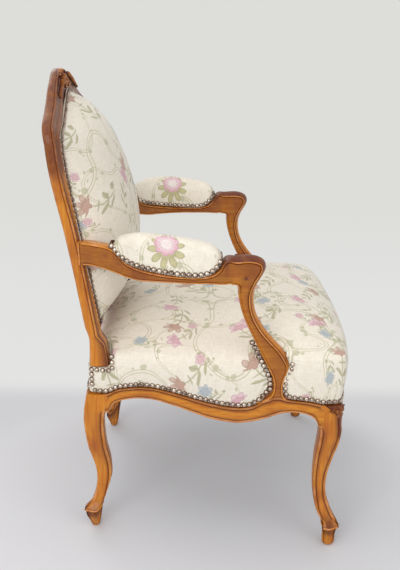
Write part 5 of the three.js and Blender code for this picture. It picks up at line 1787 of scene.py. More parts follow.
@dataclass(frozen=True)
class BackFrame:
    """The crest rail, the lower rail and what is carved on them.

    Attributes:
        stations: Number of sections along the crest rail, about.
        rib_pitch: Distance between the ribs carved on it.
        ribbed: Distances from the middle between which it has ribs.
        leaves: Distance from the middle, length and turn of each leaf on one side.
        blooms: Place, size and number of petals of each flower on its middle.
    """

    stations: int = 150
    rib_pitch: float = 6.4
    ribbed: tuple[float, float] = (26.0, 106.0)
    leaves: Table = (
        (24, 13, 0.9), (38, 14, 0.5), (52, 13, 0.8), (67, 14, 0.45), (82, 11, 0.75), (96, 12, 0.4),
        (110, 9, 0.5),
    )
    blooms: tuple = ((0, 0, 11.5, 6), (-20, -8, 8.5, 5), (20, -8, 8.5, 5))

    def crest_path(self, count: int) -> list[tuple[Vector, Vector, float]]:
        """The crest's middle line.

        Args:
            count: Number of points on one side of the middle.

        Returns:
            Points, outward directions and half widths.
        """
        rows = trace(CREST_SHARES[::-1], count)
        right = [(-a, r, w) for a, r, w in rows]
        whole = right + rows[::-1][1:]
        points = []
        for along, rise, wide in whole:
            z = PLAN.shoulder_height + PLAN.crest_rise * rise
            half = mix(PLAN.stile_width, PLAN.crest_width, clamp(wide)) / 2
            points.append((Vector((PLAN.shoulder_x * along, PLAN.frame_y(z), z)), half))
        result = []
        for i, (point, half) in enumerate(points):
            ahead, behind = points[min(i + 1, len(points) - 1)][0], points[max(i - 1, 0)][0]
            line = ahead - behind
            out = Vector((-line.z, 0, line.x)).normalized()
            if i in (0, len(points) - 1):
                out = Vector((math.copysign(1, point.x), 0, 0))
            result.append((point, out, half))
        return result

    def crest(self, wood: Material) -> Object:
        """The crest rail with its carving.

        Args:
            wood: The wood's finish.

        Returns:
            The piece.
        """
        skin = Skin()
        rings = []
        for point, out, half in self.crest_path(self.stations // 2):
            across = Vector((out.x, out.z * PLAN.crest_lean, out.z))
            inner = ease((150 - abs(point.x)) / 120)
            # Painted shade: the whole crest rail is marked at least this dark.
            section = frame_section(half, PLAN.stile_depth / 2 - 2.2 * inner, mix(1.0, 0.6, inner), 0.85)
            rings.append(ring_at(point, across, Y, section))
        skin.sweep(rings)
        self.carve(skin)
        return skin.finish("crest_rail_carved", wood, SHOW_WOOD, ["crest_rail"])

    def carve(self, skin: Skin) -> None:
        """Carves the ribs, the flowers and the shell on the crest.

        Args:
            skin: The crest rail's mesh.
        """
        path = self.crest_path(220)
        lean = Vector((0, PLAN.crest_lean, 1)).normalized()
        face = Matrix((X, lean, X.cross(lean))).transposed().to_4x4()
        travelled, last = 0.0, path[0][0]
        for point, out, half in path:
            travelled += (point - last).length
            last = point
            if not self.ribbed[0] <= abs(point.x) <= self.ribbed[1] or travelled < self.rib_pitch:
                continue
            travelled = 0.0
            side = math.copysign(1, point.x)
            near = ease((120 - abs(point.x)) / 70)
            turn = Matrix.Rotation(math.atan2(out.z, out.x) - side * 0.7, 4, "Z")
            centre = point + out * (half - mix(5.5, 8.0, near)) + Y * mix(-8.0, -10.5, near)
            size = mix(5.5, 8.0, near), 2.1, mix(3.6, 5.2, near)
            skin.lump(Matrix.Translation(centre) @ face @ turn, size, None, (10, 6), 0.45)
        for side in (-1, 1):
            for at, long, tip in self.leaves:
                point, out, half = min(path, key=lambda row: abs(row[0].x - side * at))
                turn = Matrix.Rotation(math.atan2(out.z, out.x) - side * tip, 4, "Z")
                place = Matrix.Translation(point + out * (half - 6.4) + Y * -10.0) @ face @ turn
                skin.lump(place, (long * 0.55, 4.4, 4.0), leaf_shape, (14, 8), 0.8)
        top, out, half = min(path, key=lambda row: abs(row[0].x))
        middle = top + Vector((0, -11.0, 4.0))
        for x, up, size, petals in self.blooms:
            place = Matrix.Translation(middle + Vector((x, up * PLAN.crest_lean, up))) @ face
            petal, heart = (size * 0.54, size * 0.42, 4.2), (size * 0.3, size * 0.3, 6.0)
            skin.flower(place, petals, (size * 0.62, 0, 0), petal, heart, (12, 8), (0.3, 0.4))
        for k in range(-3, 4):
            place = Matrix.Translation(top + Vector((k * 9.0, 1.0, half - 3.4 - k * k * 0.9)))
            skin.lump(place @ Matrix.Rotation(k * 0.16, 4, "Y"), (4.8, 10.5, 4.4), None, (12, 8), 0.45)

    def lower(self, wood: Material) -> Object:
        """The lower rail, with the knob carved on its middle.

        Args:
            wood: The wood's finish.

        Returns:
            The piece.
        """
        half = PLAN.frame_x(PLAN.lower_rail_height) - PLAN.stile_width / 2 + 3
        rings = []
        for along in steps(90, -1, 1):
            drop, wide = (read(LOWER_RAIL_SHARES, abs(along), k) for k in (1, 2))
            z = PLAN.lower_rail_height - PLAN.lower_rail_drop * drop
            origin = Vector((half * along, PLAN.frame_y(z), z))
            section = frame_section(PLAN.lower_rail_width / 2 * wide, PLAN.stile_depth / 2)
            rings.append(ring_at(origin, -Z, Y, section))
        skin = Skin()
        skin.sweep(rings)
        z = PLAN.lower_rail_height - 8
        middle = Vector((0, PLAN.frame_y(z) - 11, z))
        face = Matrix.Rotation(math.pi / 2, 4, "X")
        for k in range(5):
            turn = Matrix.Rotation(math.radians(-60 + 30 * k + 90), 4, "Z")
            place = Matrix.Translation(middle) @ face @ turn @ Matrix.Translation((9, 0, 0))
            skin.lump(place, (10, 4.2, 5.0), leaf_shape, (14, 8))
        skin.lump(Matrix.Translation(middle) @ face, (6, 6, 7.5), None, (12, 8))
        return skin.finish("lower_back_rail_carved", wood, SHOW_WOOD, ["lower_back_rail"])

    def build(self, wood: Material) -> None:
        """Makes both rails."""
        self.crest(wood)
        self.lower(wood)
        log.info("crest rail and lower rail")


def cupped(point: Vector) -> Vector:
    """A petal: hollow along its middle and broad at its tip."""
    broad = 0.75 + 0.35 * point.x
    hollow = 0.35 * math.exp(-((point.y / 0.45) ** 2)) if point.z > 0 else 0.0
    return Vector((point.x, point.y * broad, point.z * (1 - hollow)))


def leaf_shape(point: Vector) -> Vector:
    """A leaf: pointed at its tip, with a groove along the middle and lobes at its edge."""
    wide = max(0.0, 1 - ((point.x + 0.25) / 1.3) ** 2) * (0.86 + 0.14 * math.cos(point.x * 14))
    groove = 0.4 * math.exp(-((point.y / 0.16) ** 2)) if point.z > 0 else 0.0
    return Vector((point.x, point.y * wide, point.z * (1 - groove) * (0.6 + 0.4 * wide)))


@dataclass(frozen=True)
class SeatRails:
    """The four rails of the seat, with their moulded lip and shaped lower edge.

    Attributes:
        lip: The bead along an edge: distance out of the face, height over the edge, recess and arris.
    """

    lip: tuple = (
        (-1.6, 0, 0, 1), (-0.2, 1.0, 0, 1), (0.3, 2.8, 0, 1), (-0.2, 4.4, 0.2, 0.8), (-1.7, 5.6, 1, 0),
        (0.2, 7.0, 0.5, 0),
    )

    @staticmethod
    def edges(shares: Table, along: float) -> tuple[float, float]:
        """Heights of a rail's lower edge and of its lip."""
        low, lip = (read(shares, along, k) for k in (1, 2))
        return PLAN.apron_low + PLAN.apron_rise * low, PLAN.lip_low + PLAN.lip_rise * lip

    def section(self, low: float, lip: float, thickness: float, moulded: bool = True) -> list[Station]:
        """A rail's section.

        Args:
            low: Height of its lower edge.
            lip: Height of the lip under the fabric.
            thickness: Thickness of its upper part.
            moulded: Whether its face has beads along both edges.

        Returns:
            Points as distance out of the show face, height, recess and arris.
        """
        if not moulded:
            face = [(-1.2, low, 0, 1), (0, low + 1.2, 0, 1), (0, lip - 1.2, 0, 1), (-1.2, lip, 0, 1)]
            face[2:2] = [(0, mix(low, lip, 0.15 + 0.07 * k), 0, 0) for k in range(11)]
        else:
            step = clamp((lip - low) / 34.0, 0.5, 1.0)
            middle = (low + lip) / 2
            face = [(u, low + v * step, r, a) for u, v, r, a in self.lip]
            near_low, near_lip = (mix(end, middle, 0.72) for end in (low, lip))
            face += [(1.1, near_low, 0, 0), (1.5, middle, 0, 0), (1.1, near_lip, 0, 0)]
            face += [(u, lip - v * step, max(r, 0.5), a * 0.5) for u, v, r, a in self.lip[::-1]]
        back = [
            (-PLAN.rebate, lip, 0.8, 0), (-PLAN.rebate, PLAN.rail_top, 0, 0),
            (-thickness, PLAN.rail_top, 0, 0), (-thickness, PLAN.web_level, 0, 0),
            (-PLAN.apron_thickness, PLAN.web_level, 0, 0), (-PLAN.apron_thickness, low, 0, 0.5),
        ]
        return face + back

    def side(self, side: Side, wood: Material) -> Object:
        """A side rail.

        Args:
            side: The chair's side.
            wood: The wood's finish.

        Returns:
            The piece.
        """
        rings = []
        for along in [-0.02, *steps(150), 1.02]:
            y = mix(PLAN.rail_end, -PLAN.rail_end, along)
            outline = self.section(*self.edges(SIDE_RAIL_SHARES, along), PLAN.rail_thickness)
            rings.append(ring_at(Vector((PLAN.half_width(y), y, 0)), X, Z, outline))
        skin = Skin()
        skin.sweep(rings)
        node = f"side_seat_rail_{side.value}"
        return skin.finish(f"{node}_moulded", wood, SHOW_WOOD, [node], flip=side.flip)

    def front(self, wood: Material) -> Object:
        """The bowed front rail with the flower carved on its middle.

        Args:
            wood: The wood's finish.

        Returns:
            The piece.
        """
        rings = []
        for along in steps(160, -1.015, 1.015):
            x = PLAN.front_rail_half * along
            bow = PLAN.front_bow(x)
            outline = self.section(*self.edges(FRONT_RAIL_SHARES, abs(along)), PLAN.rail_thickness + bow)
            rings.append(ring_at(Vector((x, -PLAN.half_depth - bow, 0)), -Y, Z, outline))
        skin = Skin()
        skin.sweep(rings)
        middle = Vector((0, -PLAN.half_depth - PLAN.bow - 1, PLAN.apron_low + 17))
        face = Matrix.Rotation(math.pi / 2, 4, "X")
        skin.flower(Matrix.Translation(middle) @ face, 5, (6.4, 0, 0), (5.6, 4.6, 3.6), (3.2, 3.2, 5.0))
        for side in (-1, 1):
            for x, up, angle in ((17, 1, 8), (29, 4, 16), (15, -6, -24)):
                turn = Matrix.Rotation(math.radians(angle if side > 0 else 180 - angle), 4, "Z")
                place = Matrix.Translation(middle + Vector((side * x, 0.6, up))) @ face @ turn
                skin.lump(place, (10, 3.8, 3.0), leaf_shape, (14, 8))
        return skin.finish("front_seat_rail_carved", wood, SHOW_WOOD, ["front_seat_rail"])

    def rear(self, wood: Material) -> Object:
        """The plain rear rail.

        Args:
            wood: The wood's finish.

        Returns:
            The piece.
        """
        reach = PLAN.rear_post_x - PLAN.rear_post_width / 2 + 3
        outline = self.section(PLAN.rear_apron_low, PLAN.rear_lip, PLAN.rail_thickness, moulded=False)
        rings = [ring_at(Vector((x, PLAN.half_depth, 0)), Y, Z, outline) for x in steps(30, -reach, reach)]
        skin = Skin()
        skin.sweep(rings)
        return skin.finish("rear_seat_rail_plain", wood, SHOW_WOOD, ["rear_seat_rail"])

    def build(self, lengthwise: Material, crosswise: Material) -> None:
        """Makes the four rails.

        Args:
            lengthwise: Finish of the side rails.
            crosswise: Finish of the front and rear rails.
        """
        for side in Side:
            self.side(side, lengthwise)
        self.front(crosswise)
        self.rear(crosswise)
        log.info("seat rails")


@dataclass(frozen=True)
class Arms:
    """The arms with their supports, cut from a side outline and moulded along its edge.

    Attributes:
        bottom: The outline's points in Y and Z, from the arm's rear end along its underside and down the
            support's rear edge.
        top: The rest of it, up the support's front edge, round the scroll and back over the top.
        spacing: Distance between points along the outline.
        buried: How far the support's foot sinks into the rail below the lip.
        rim: The edge's section: distance from the edge, half width as a share, recess and arris.
        rolled: The same where the edge is rolled over.
        plug: Place of the wooden plug, in Y and Z.
    """

    bottom: tuple = (
        (270, 612), (246, 611), (224, 608), (200, 603), (175, 598), (149, 595), (124, 596), (85, 597),
        (46, 597), (6, 597), (-20, 596), (-36, 596), (-43, 594), (-44.5, 585), (-45, 572), (-49, 551),
        (-57.5, 525), (-69, 499), (-82, 473), (-93.5, 449), (-105, 426), (-115, 405), (-121.5, 388),
        (-123, 369), (-118.5, 352), (-106, 341), (-90, 333),
    )
    top: tuple = (
        (-163, 335), (-152, 344.5), (-143.5, 354), (-141, 369), (-142.5, 384), (-148, 401), (-152, 414),
        (-152, 426), (-147, 441), (-133, 461), (-116, 480), (-99.5, 500), (-85.5, 523), (-78, 544),
        (-75.5, 566), (-77.5, 582), (-83, 597), (-91, 611), (-96.5, 624), (-96, 635), (-90.5, 643),
        (-79, 648.5), (-64, 650.5), (-42, 649), (-24, 646.5), (-14, 638.5), (-8, 627), (4, 617), (26, 611.5),
        (65, 611), (104, 613), (143, 618), (168, 625), (183, 636), (196, 648), (210, 653), (236, 656),
        (272, 659),
    )
    spacing: float = 5.0
    buried: float = 9.0
    rim: tuple = (
        (0.0, 0.84, 0, 0.8), (0.5, 0.92, 0, 0.9), (1.1, 0.97, 0, 1), (1.9, 1.0, 0, 1), (2.7, 1.0, 0, 1),
        (3.4, 0.99, 0.1, 0.9), (4.3, 0.88, 1, 0.01), (5.3, 0.99, 0.5, 0.02),
    )
    rolled: tuple = (
        (0.0, 0.1, 0.1, 0.3), (1.8, 0.46, 0, 0.3), (4.4, 0.74, 0.15, 0), (6.9, 0.86, 1, 0), (8.0, 0.98, 0, 1),
        (9.6, 0.98, 0.1, 0.9), (10.7, 0.82, 1, 0.01), (12.0, 0.97, 0.6, 0.02),
    )
    plug: tuple[float, float] = (-58.0, 610.0)

    def loop(self) -> list[Vector]:
        """The outline at even steps, as points in Y and Z."""
        points = []
        for part in (self.bottom, self.top):
            lengths = [0.0]
            for before, after in zip(part, part[1:]):
                lengths.append(lengths[-1] + math.dist(before, after))
            marked = [(length, *point) for length, point in zip(lengths, part)]
            count = int(lengths[-1] / self.spacing)
            for at in steps(count, 0, lengths[-1]):
                points.append(Vector((read(marked, at, 1), read(marked, at, 2))))
        return points

    def rims(self) -> list[Ring]:
        """The outline drawn in step by step on both faces, as a round edge, a bead and a groove."""
        loop = self.loop()
        count = len(loop)
        marks = [self.edge(*point) for point in loop]
        inward = []
        for i in range(count):
            line = (loop[(i + 2) % count] - loop[i - 2]).normalized()
            inward.append(Vector((line.y, -line.x)))
        rings = []
        rows = list(zip(self.rim, self.rolled))
        for way, pairs in ((-1, rows[::-1]), (1, rows)):
            for plain, rolled in pairs:
                ring = []
                for point, draw, (roll, plainness, shade) in zip(loop, inward, marks):
                    inset, out, recess, arris = (mix(a, b, roll) for a, b in zip(plain, rolled))
                    y, z = point + draw * inset
                    middle, half = self.across(y, z)
                    # The recess marks darken the grooves (dirt and painted shade) and the arris marks pale
                    # the beads (wear and a painted highlight).
                    recess = max(recess * (1 - plainness), shade * clamp(1.0 - (inset - 5.4) / 1.2))
                    worn_and_highlit = arris * (1 - plainness) * (1 - shade * clamp((7.4 - inset) / 1.4))
                    ring.append((Vector((middle + half * out * way, y, z)), recess, worn_and_highlit))
                rings.append(ring)
        return rings

    @staticmethod
    def edge(y: float, z: float) -> tuple[float, float, float]:
        """How far the edge is rolled, how far it is left plain, and how dark the wood is there.

        Args:
            y: Place of a point of the outline.
            z: Its height.

        Returns:
            The three shares, from 0 to 1.
        """
        ahead = ease((PLAN.support_y(PLAN.support_share(z)) - y) / 8)
        if z < 600 and y < -30:
            up = ease((z - 400) / 40)
            return ahead * up, 0.8 * (1 - ahead) * up, 0.3 * (1 - ahead) * up
        scroll = ease((-14 - y) / 26) * ease((z - 585) / 20)
        return scroll, 0.0, 0.9 * ease((z - 606) / 26) * ease((2 - y) / 20)

    def across(self, y: float, z: float) -> tuple[float, float]:
        """Middle and half width of the wood, across the chair, at a place of the outline.

        Args:
            y: Place of a point of the outline.
            z: Its height.

        Returns:
            The two measures.
        """
        low_half = PLAN.support_width / 2
        if z < PLAN.rail_top:
            sink = self.buried * ease((PLAN.side_lip(y) + 1 - z) / 9)
            return PLAN.half_width(y) + 0.5 - sink - low_half, low_half
        along = PLAN.arm_share(y, z)
        wide = clamp(read(ARM_SHARES, min(along, 0.93), 3))
        high_half = mix(PLAN.arm_rear_width, PLAN.arm_width, wide) / 2
        turn = ease((z - 572) / 24) if y < -20 else 1.0
        middle = mix(PLAN.support_x(PLAN.support_share(z)), PLAN.arm_x(along), turn)
        return middle, mix(low_half, high_half, turn)

    def build_side(self, side: Side, wood: Material) -> Object:
        """One arm with its support.

        Args:
            side: The chair's side.
            wood: The wood's finish.

        Returns:
            The piece.
        """
        skin = Skin()
        skin.sweep(self.rims())
        for k in range(46):
            self.cut(skin.bm, Vector((0, 252 - 8 * k, 0)), Y)
        for k in range(36):
            self.cut(skin.bm, Vector((0, 0, 342 + 9 * k)), Z)
        inner = [v for v in skin.bm.verts if v[skin.recess] == 0.0 and v[skin.arris] == 0.0]
        for vert in inner:
            middle, half = self.across(vert.co.y, vert.co.z)
            vert.co.x = middle + math.copysign(half, vert.co.x - middle)
        middle, half = self.across(*self.plug)
        place = Matrix.Translation((middle + half, *self.plug)) @ Matrix.Rotation(math.pi / 2, 4, "Y")
        skin.lump(place, (3.2, 3.2, 0.9), None, (12, 6), 1.0)
        name = f"arm_{side.value}_moulded"
        nodes = [f"arm_{side.value}", f"arm_support_{side.value}"]
        return skin.finish(name, wood, SHOW_WOOD, nodes, sharp=50.0, flip=side.flip)

    @staticmethod
    def cut(bm: bmesh.types.BMesh, point: Vector, normal: Vector) -> None:
        """Cuts the mesh along a plane, so that it can bend there."""
        geometry = [*bm.verts, *bm.edges, *bm.faces]
        bmesh.ops.bisect_plane(bm, geom=geometry, plane_co=point, plane_no=normal, dist=0.02)

    def build(self, wood: Material) -> None:
        """Makes both arms."""
        for side in Side:
            self.build_side(side, wood)
        log.info("arms and supports")


def fullness(t: float, power: float, softness: float) -> float:
    """Height of a stuffed crown from the middle, 0, to the edge, 1."""
    return max(0.0, 1 - abs(t) ** power) ** softness


@dataclass(frozen=True)
class Pad:
    """A stuffed pad: a crowned cover over a base, on one square of places from -1 to 1.

    Places past 1 are on the side wall.

    Attributes:
        cells: Number of the grid's cells along a side.
        rim: Place of the hem.
        over: The cover, from a place and the share of the way down the wall.
        under: The base, from the same.
        cloth: Cloth coordinates, from the same.
        touches: Whether the pad lies against wood at a point.
    """

    cells: int
    rim: float
    over: Surface
    under: Surface
    cloth: Callable[[float, float, float], tuple[float, float]]
    touches: Callable[[Vector], bool]

    def grid(self, skin: Skin, shape: Surface, loose: bool) -> list[BMVert]:
        """Lays a grid of points on a surface and maps the cloth on it.

        Args:
            skin: The mesh.
            shape: Place from the square's place and the share of the way down the wall.
            loose: Whether the cloth may swell away from its nails.

        Returns:
            The grid's points.
        """
        cells = {"x_segments": self.cells, "y_segments": self.cells}
        made = bmesh.ops.create_grid(skin.bm, **cells, size=self.rim)["verts"]
        marks = {}
        for vert in made:
            a, b = vert.co.x, vert.co.y
            t = max(abs(a), abs(b), 1.0)
            wall = (t - 1) / (self.rim - 1)
            marks[vert] = self.cloth(a / t, b / t, wall)
            nailed = t > mix(1.0, self.rim, 0.8) or max(abs(a), abs(b)) > 0.97 * self.rim
            vert.co = shape(a / t, b / t, wall)
            vert[skin.pinned] = 0.0 if loose and not nailed and not self.touches(vert.co) else 1.0
        for face in {face for vert in made for face in vert.link_faces}:
            for corner in face.loops:
                corner[skin.cloth].uv = marks[corner.vert]
        return made

    def build(self) -> Skin:
        """Makes the closed mesh."""
        skin = Skin()
        rims = []
        for shape in (self.over, self.under):
            made = self.grid(skin, shape, shape is self.over)
            rims += [edge for edge in {e for v in made for e in v.link_edges} if edge.is_boundary]
        rims.sort(key=lambda edge: (edge.verts[0].index, edge.verts[1].index))
        bmesh.ops.bridge_loops(skin.bm, edges=rims)
        return skin


def plump(piece: Object, pressure: float, reach: float) -> None:
    """Lets a pad swell as cloth under pressure, and keeps its pinned points.

    Args:
        piece: The pad.
        pressure: Pressure inside.
        reach: How far a point may move, in metres.
    """
    mesh = piece.data
    pins = [k for k, mark in enumerate(mesh.attributes["pinned"].data) if mark.value > 0.5]
    mesh.attributes.remove(mesh.attributes["pinned"])
    before = [vert.co.copy() for vert in mesh.vertices]
    piece.vertex_groups.new(name="held").add(pins, 1.0, "REPLACE")
    settings = piece.modifiers.new("swell", "CLOTH").settings
    settings.use_pressure = True
    settings.uniform_pressure_force = pressure
    settings.vertex_group_mass = "held"
    settings.tension_stiffness = settings.compression_stiffness = STIFFNESS
    settings.shear_stiffness = STIFFNESS / 2
    settings.bending_stiffness = 1.0
    settings.effector_weights.gravity = 0.0
    scene = bpy.context.scene
    for number in range(1, SWELL_FRAMES + 1):
        scene.frame_set(number)
    evaluated = piece.evaluated_get(bpy.context.evaluated_depsgraph_get())
    moves = [vert.co - old for vert, old in zip(evaluated.to_mesh().vertices, before)]
    evaluated.to_mesh_clear()
    piece.modifiers.clear()
    piece.vertex_groups.clear()
    scene.frame_set(1)
    for k in set(range(len(moves))).difference(pins):
        if math.isfinite(moves[k].length):
            mesh.vertices[k].co = before[k] + moves[k] * min(1.0, reach / max(moves[k].length, 1e-9))
    mesh.update()
    most = min(reach, max(move.length for move in moves))
    log.info("%s swelled by up to %.1f mm", piece.name, most / MM)


@dataclass(frozen=True)
class SeatCushion:
    """The domed seat: its cover and its stuffing in one padded piece.

    Attributes:
        edge_rise: Height at which the wall turns into the crown, as a share of the seat's height.
        rim: Place of the hem on the pad's square.
        console_gap: Room between the cover and a support.
        crown_foot: Height of the hem where the crown is drawn, away from the edge.
        wall: Swell of the wall by its height.
    """

    edge_rise: float = 0.62
    rim: float = 1.3
    console_gap: float = 1.5
    crown_foot: float = 345.0
    wall: Table = ((0, 0), (0.16, 0.55), (0.3, 0.9), (0.42, 1), (0.55, 0.85), (0.62, 0.62))

    def wall_bulge(self, rise: float) -> float:
        """How far the wall swells at a share of its height."""
        return read(self.wall, rise, 1)

    def plan_place(self, a: float, b: float) -> tuple[float, float]:
        """The seat's own place from the square's place, with its corners rounded."""
        return a * rounded(b, 26.0, 0.016), b * rounded(a, 26.0, 0.016)

    def over(self, a: float, b: float, wall: float) -> Vector:
        """A point of the cover.

        Args:
            a: Place across, from -1 to 1.
            b: Place from the front or the bottom, -1, to the rear or the top, 1.
            wall: Share of the way down the wall.

        Returns:
            The point.
        """
        p, q = self.plan_place(a, b)
        near = max(abs(a), abs(b))
        hem = PLAN.hem(p, q) if near > 0.5 else self.crown_foot
        top = PLAN.seat_top(q * 0.94)
        if wall > 0:
            rise = self.edge_rise * (1 - wall)
            bulge = self.wall_bulge(rise)
            z = mix(hem, top, rise)
        else:
            bulge = self.wall_bulge(self.edge_rise) * near**8
            crown = fullness(a, 3.6, 0.74) * fullness(b, 3.8, 0.74)
            z = mix(mix(hem, top, self.edge_rise), top, crown)
        inset = PLAN.hem_set - bulge * clamp((1 - q) / 0.14) * PLAN.seat_bulge
        return self.give_way(PLAN.seat_point(p, q, inset, z))

    def give_way(self, point: Vector) -> Vector:
        """Keeps the cover off the supports and under the stiles.

        Args:
            point: A point of the cover.

        Returns:
            The moved point.
        """
        x, y, z = abs(point.x), point.y, point.z
        share = PLAN.support_share(z)
        half = PLAN.support_width * read(SUPPORT_SHARES, share, 2) / 2
        if z < PLAN.rail_top:
            half = 9.5 + 15 * ease((PLAN.rail_top - z) / 50)
        away = abs(y - PLAN.support_y(share)) - half
        face = PLAN.support_x(share) + PLAN.support_width / 2
        flush = (face if z > PLAN.rail_top else PLAN.half_width(y)) - 2.2
        if x > flush - 6 and away < 26:
            x = mix(min(x, flush), x, ease((away - 2) / 24))
        limit = face - PLAN.support_width - self.console_gap
        if away < 0 and x > limit:
            x = mix(limit, x, ease((away + 1.5) / 1.5))
        stile_x = PLAN.rear_post_x - PLAN.stile_width / 2
        near = min(x - (stile_x - 3), y - (PLAN.rear_post_y - 28))
        if near > -4:
            low = PLAN.stile_foot - 1.6
            z = mix(min(z, low), z, ease(-near / 4)) if near < 0 else min(z, low)
        return Vector((math.copysign(x, point.x), y, z))

    @staticmethod
    def touches(point: Vector) -> bool:
        """Whether a point lies against a support or a stile."""
        beside = PLAN.half_width(point.y) - abs(point.x)
        away = abs(point.y - PLAN.support_y(PLAN.support_share(point.z)))
        return beside < 50 and (away < 42 or point.y > PLAN.rear_post_y - 44)

    def under(self, a: float, b: float, wall: float) -> Vector:
        """A point of the underside.

        Args:
            a: Place across, from -1 to 1.
            b: Place from the front or the bottom, -1, to the rear or the top, 1.
            wall: Share of the way down the wall.

        Returns:
            The point.
        """
        p, q = self.plan_place(a, b)
        near = max(abs(a), abs(b))
        if wall > 0:
            point = self.over(a, b, wall)
            inner = PLAN.seat_point(p, q, PLAN.hem_set + PLAN.fabric + PLAN.gap, 0)
            z = PLAN.hem(p, q)
            if wall < 0.999:
                z = min(mix(PLAN.rail_top + 0.5, z, wall), point.z - 0.2)
            x = min(abs(inner.x), abs(point.x) - 0.8)
            return Vector((math.copysign(x, inner.x), inner.y, z))
        lift = read(SEAT_BASE_SHARES, near, 1)
        z = mix(PLAN.rail_top + 0.5, PLAN.spring_top + 2.2, lift)
        point = PLAN.seat_point(p, q, PLAN.hem_set + PLAN.fabric + PLAN.gap, z)
        return self.give_way(point)

    def cloth(self, a: float, b: float, wall: float) -> tuple[float, float]:
        """Cloth coordinates in metres: the plan, opened out at its edges.

        Args:
            a: Place across, from -1 to 1.
            b: Place from the front or the bottom, -1, to the rear or the top, 1.
            wall: Share of the way down the wall.

        Returns:
            The two coordinates.
        """
        point = PLAN.seat_point(a, b, PLAN.hem_set, 0)
        near = max(abs(a), abs(b))
        top = mix(self.crown_foot, PLAN.seat_top(b), self.edge_rise)
        drop = (top - self.crown_foot) * wall + 26 * near**6
        out = Vector((math.copysign(abs(a) ** 14, a), math.copysign(abs(b) ** 14, b)))
        if out.length > 0:
            out.normalize()
        return (point.x + out.x * drop) * MM, (point.y + out.y * drop) * MM

    def build(self, cloth: Material) -> Object:
        """Makes the seat.

        Args:
            cloth: The cloth's finish.

        Returns:
            The piece.
        """
        skin = Pad(112, self.rim, self.over, self.under, self.cloth, self.touches).build()
        piece = skin.finish("seat_cushion", cloth, COVER, ["seat_cover", "seat_stuffing"], sharp=60.0)
        plump(piece, 4.0, 0.004)
        log.info("seat")
        return piece


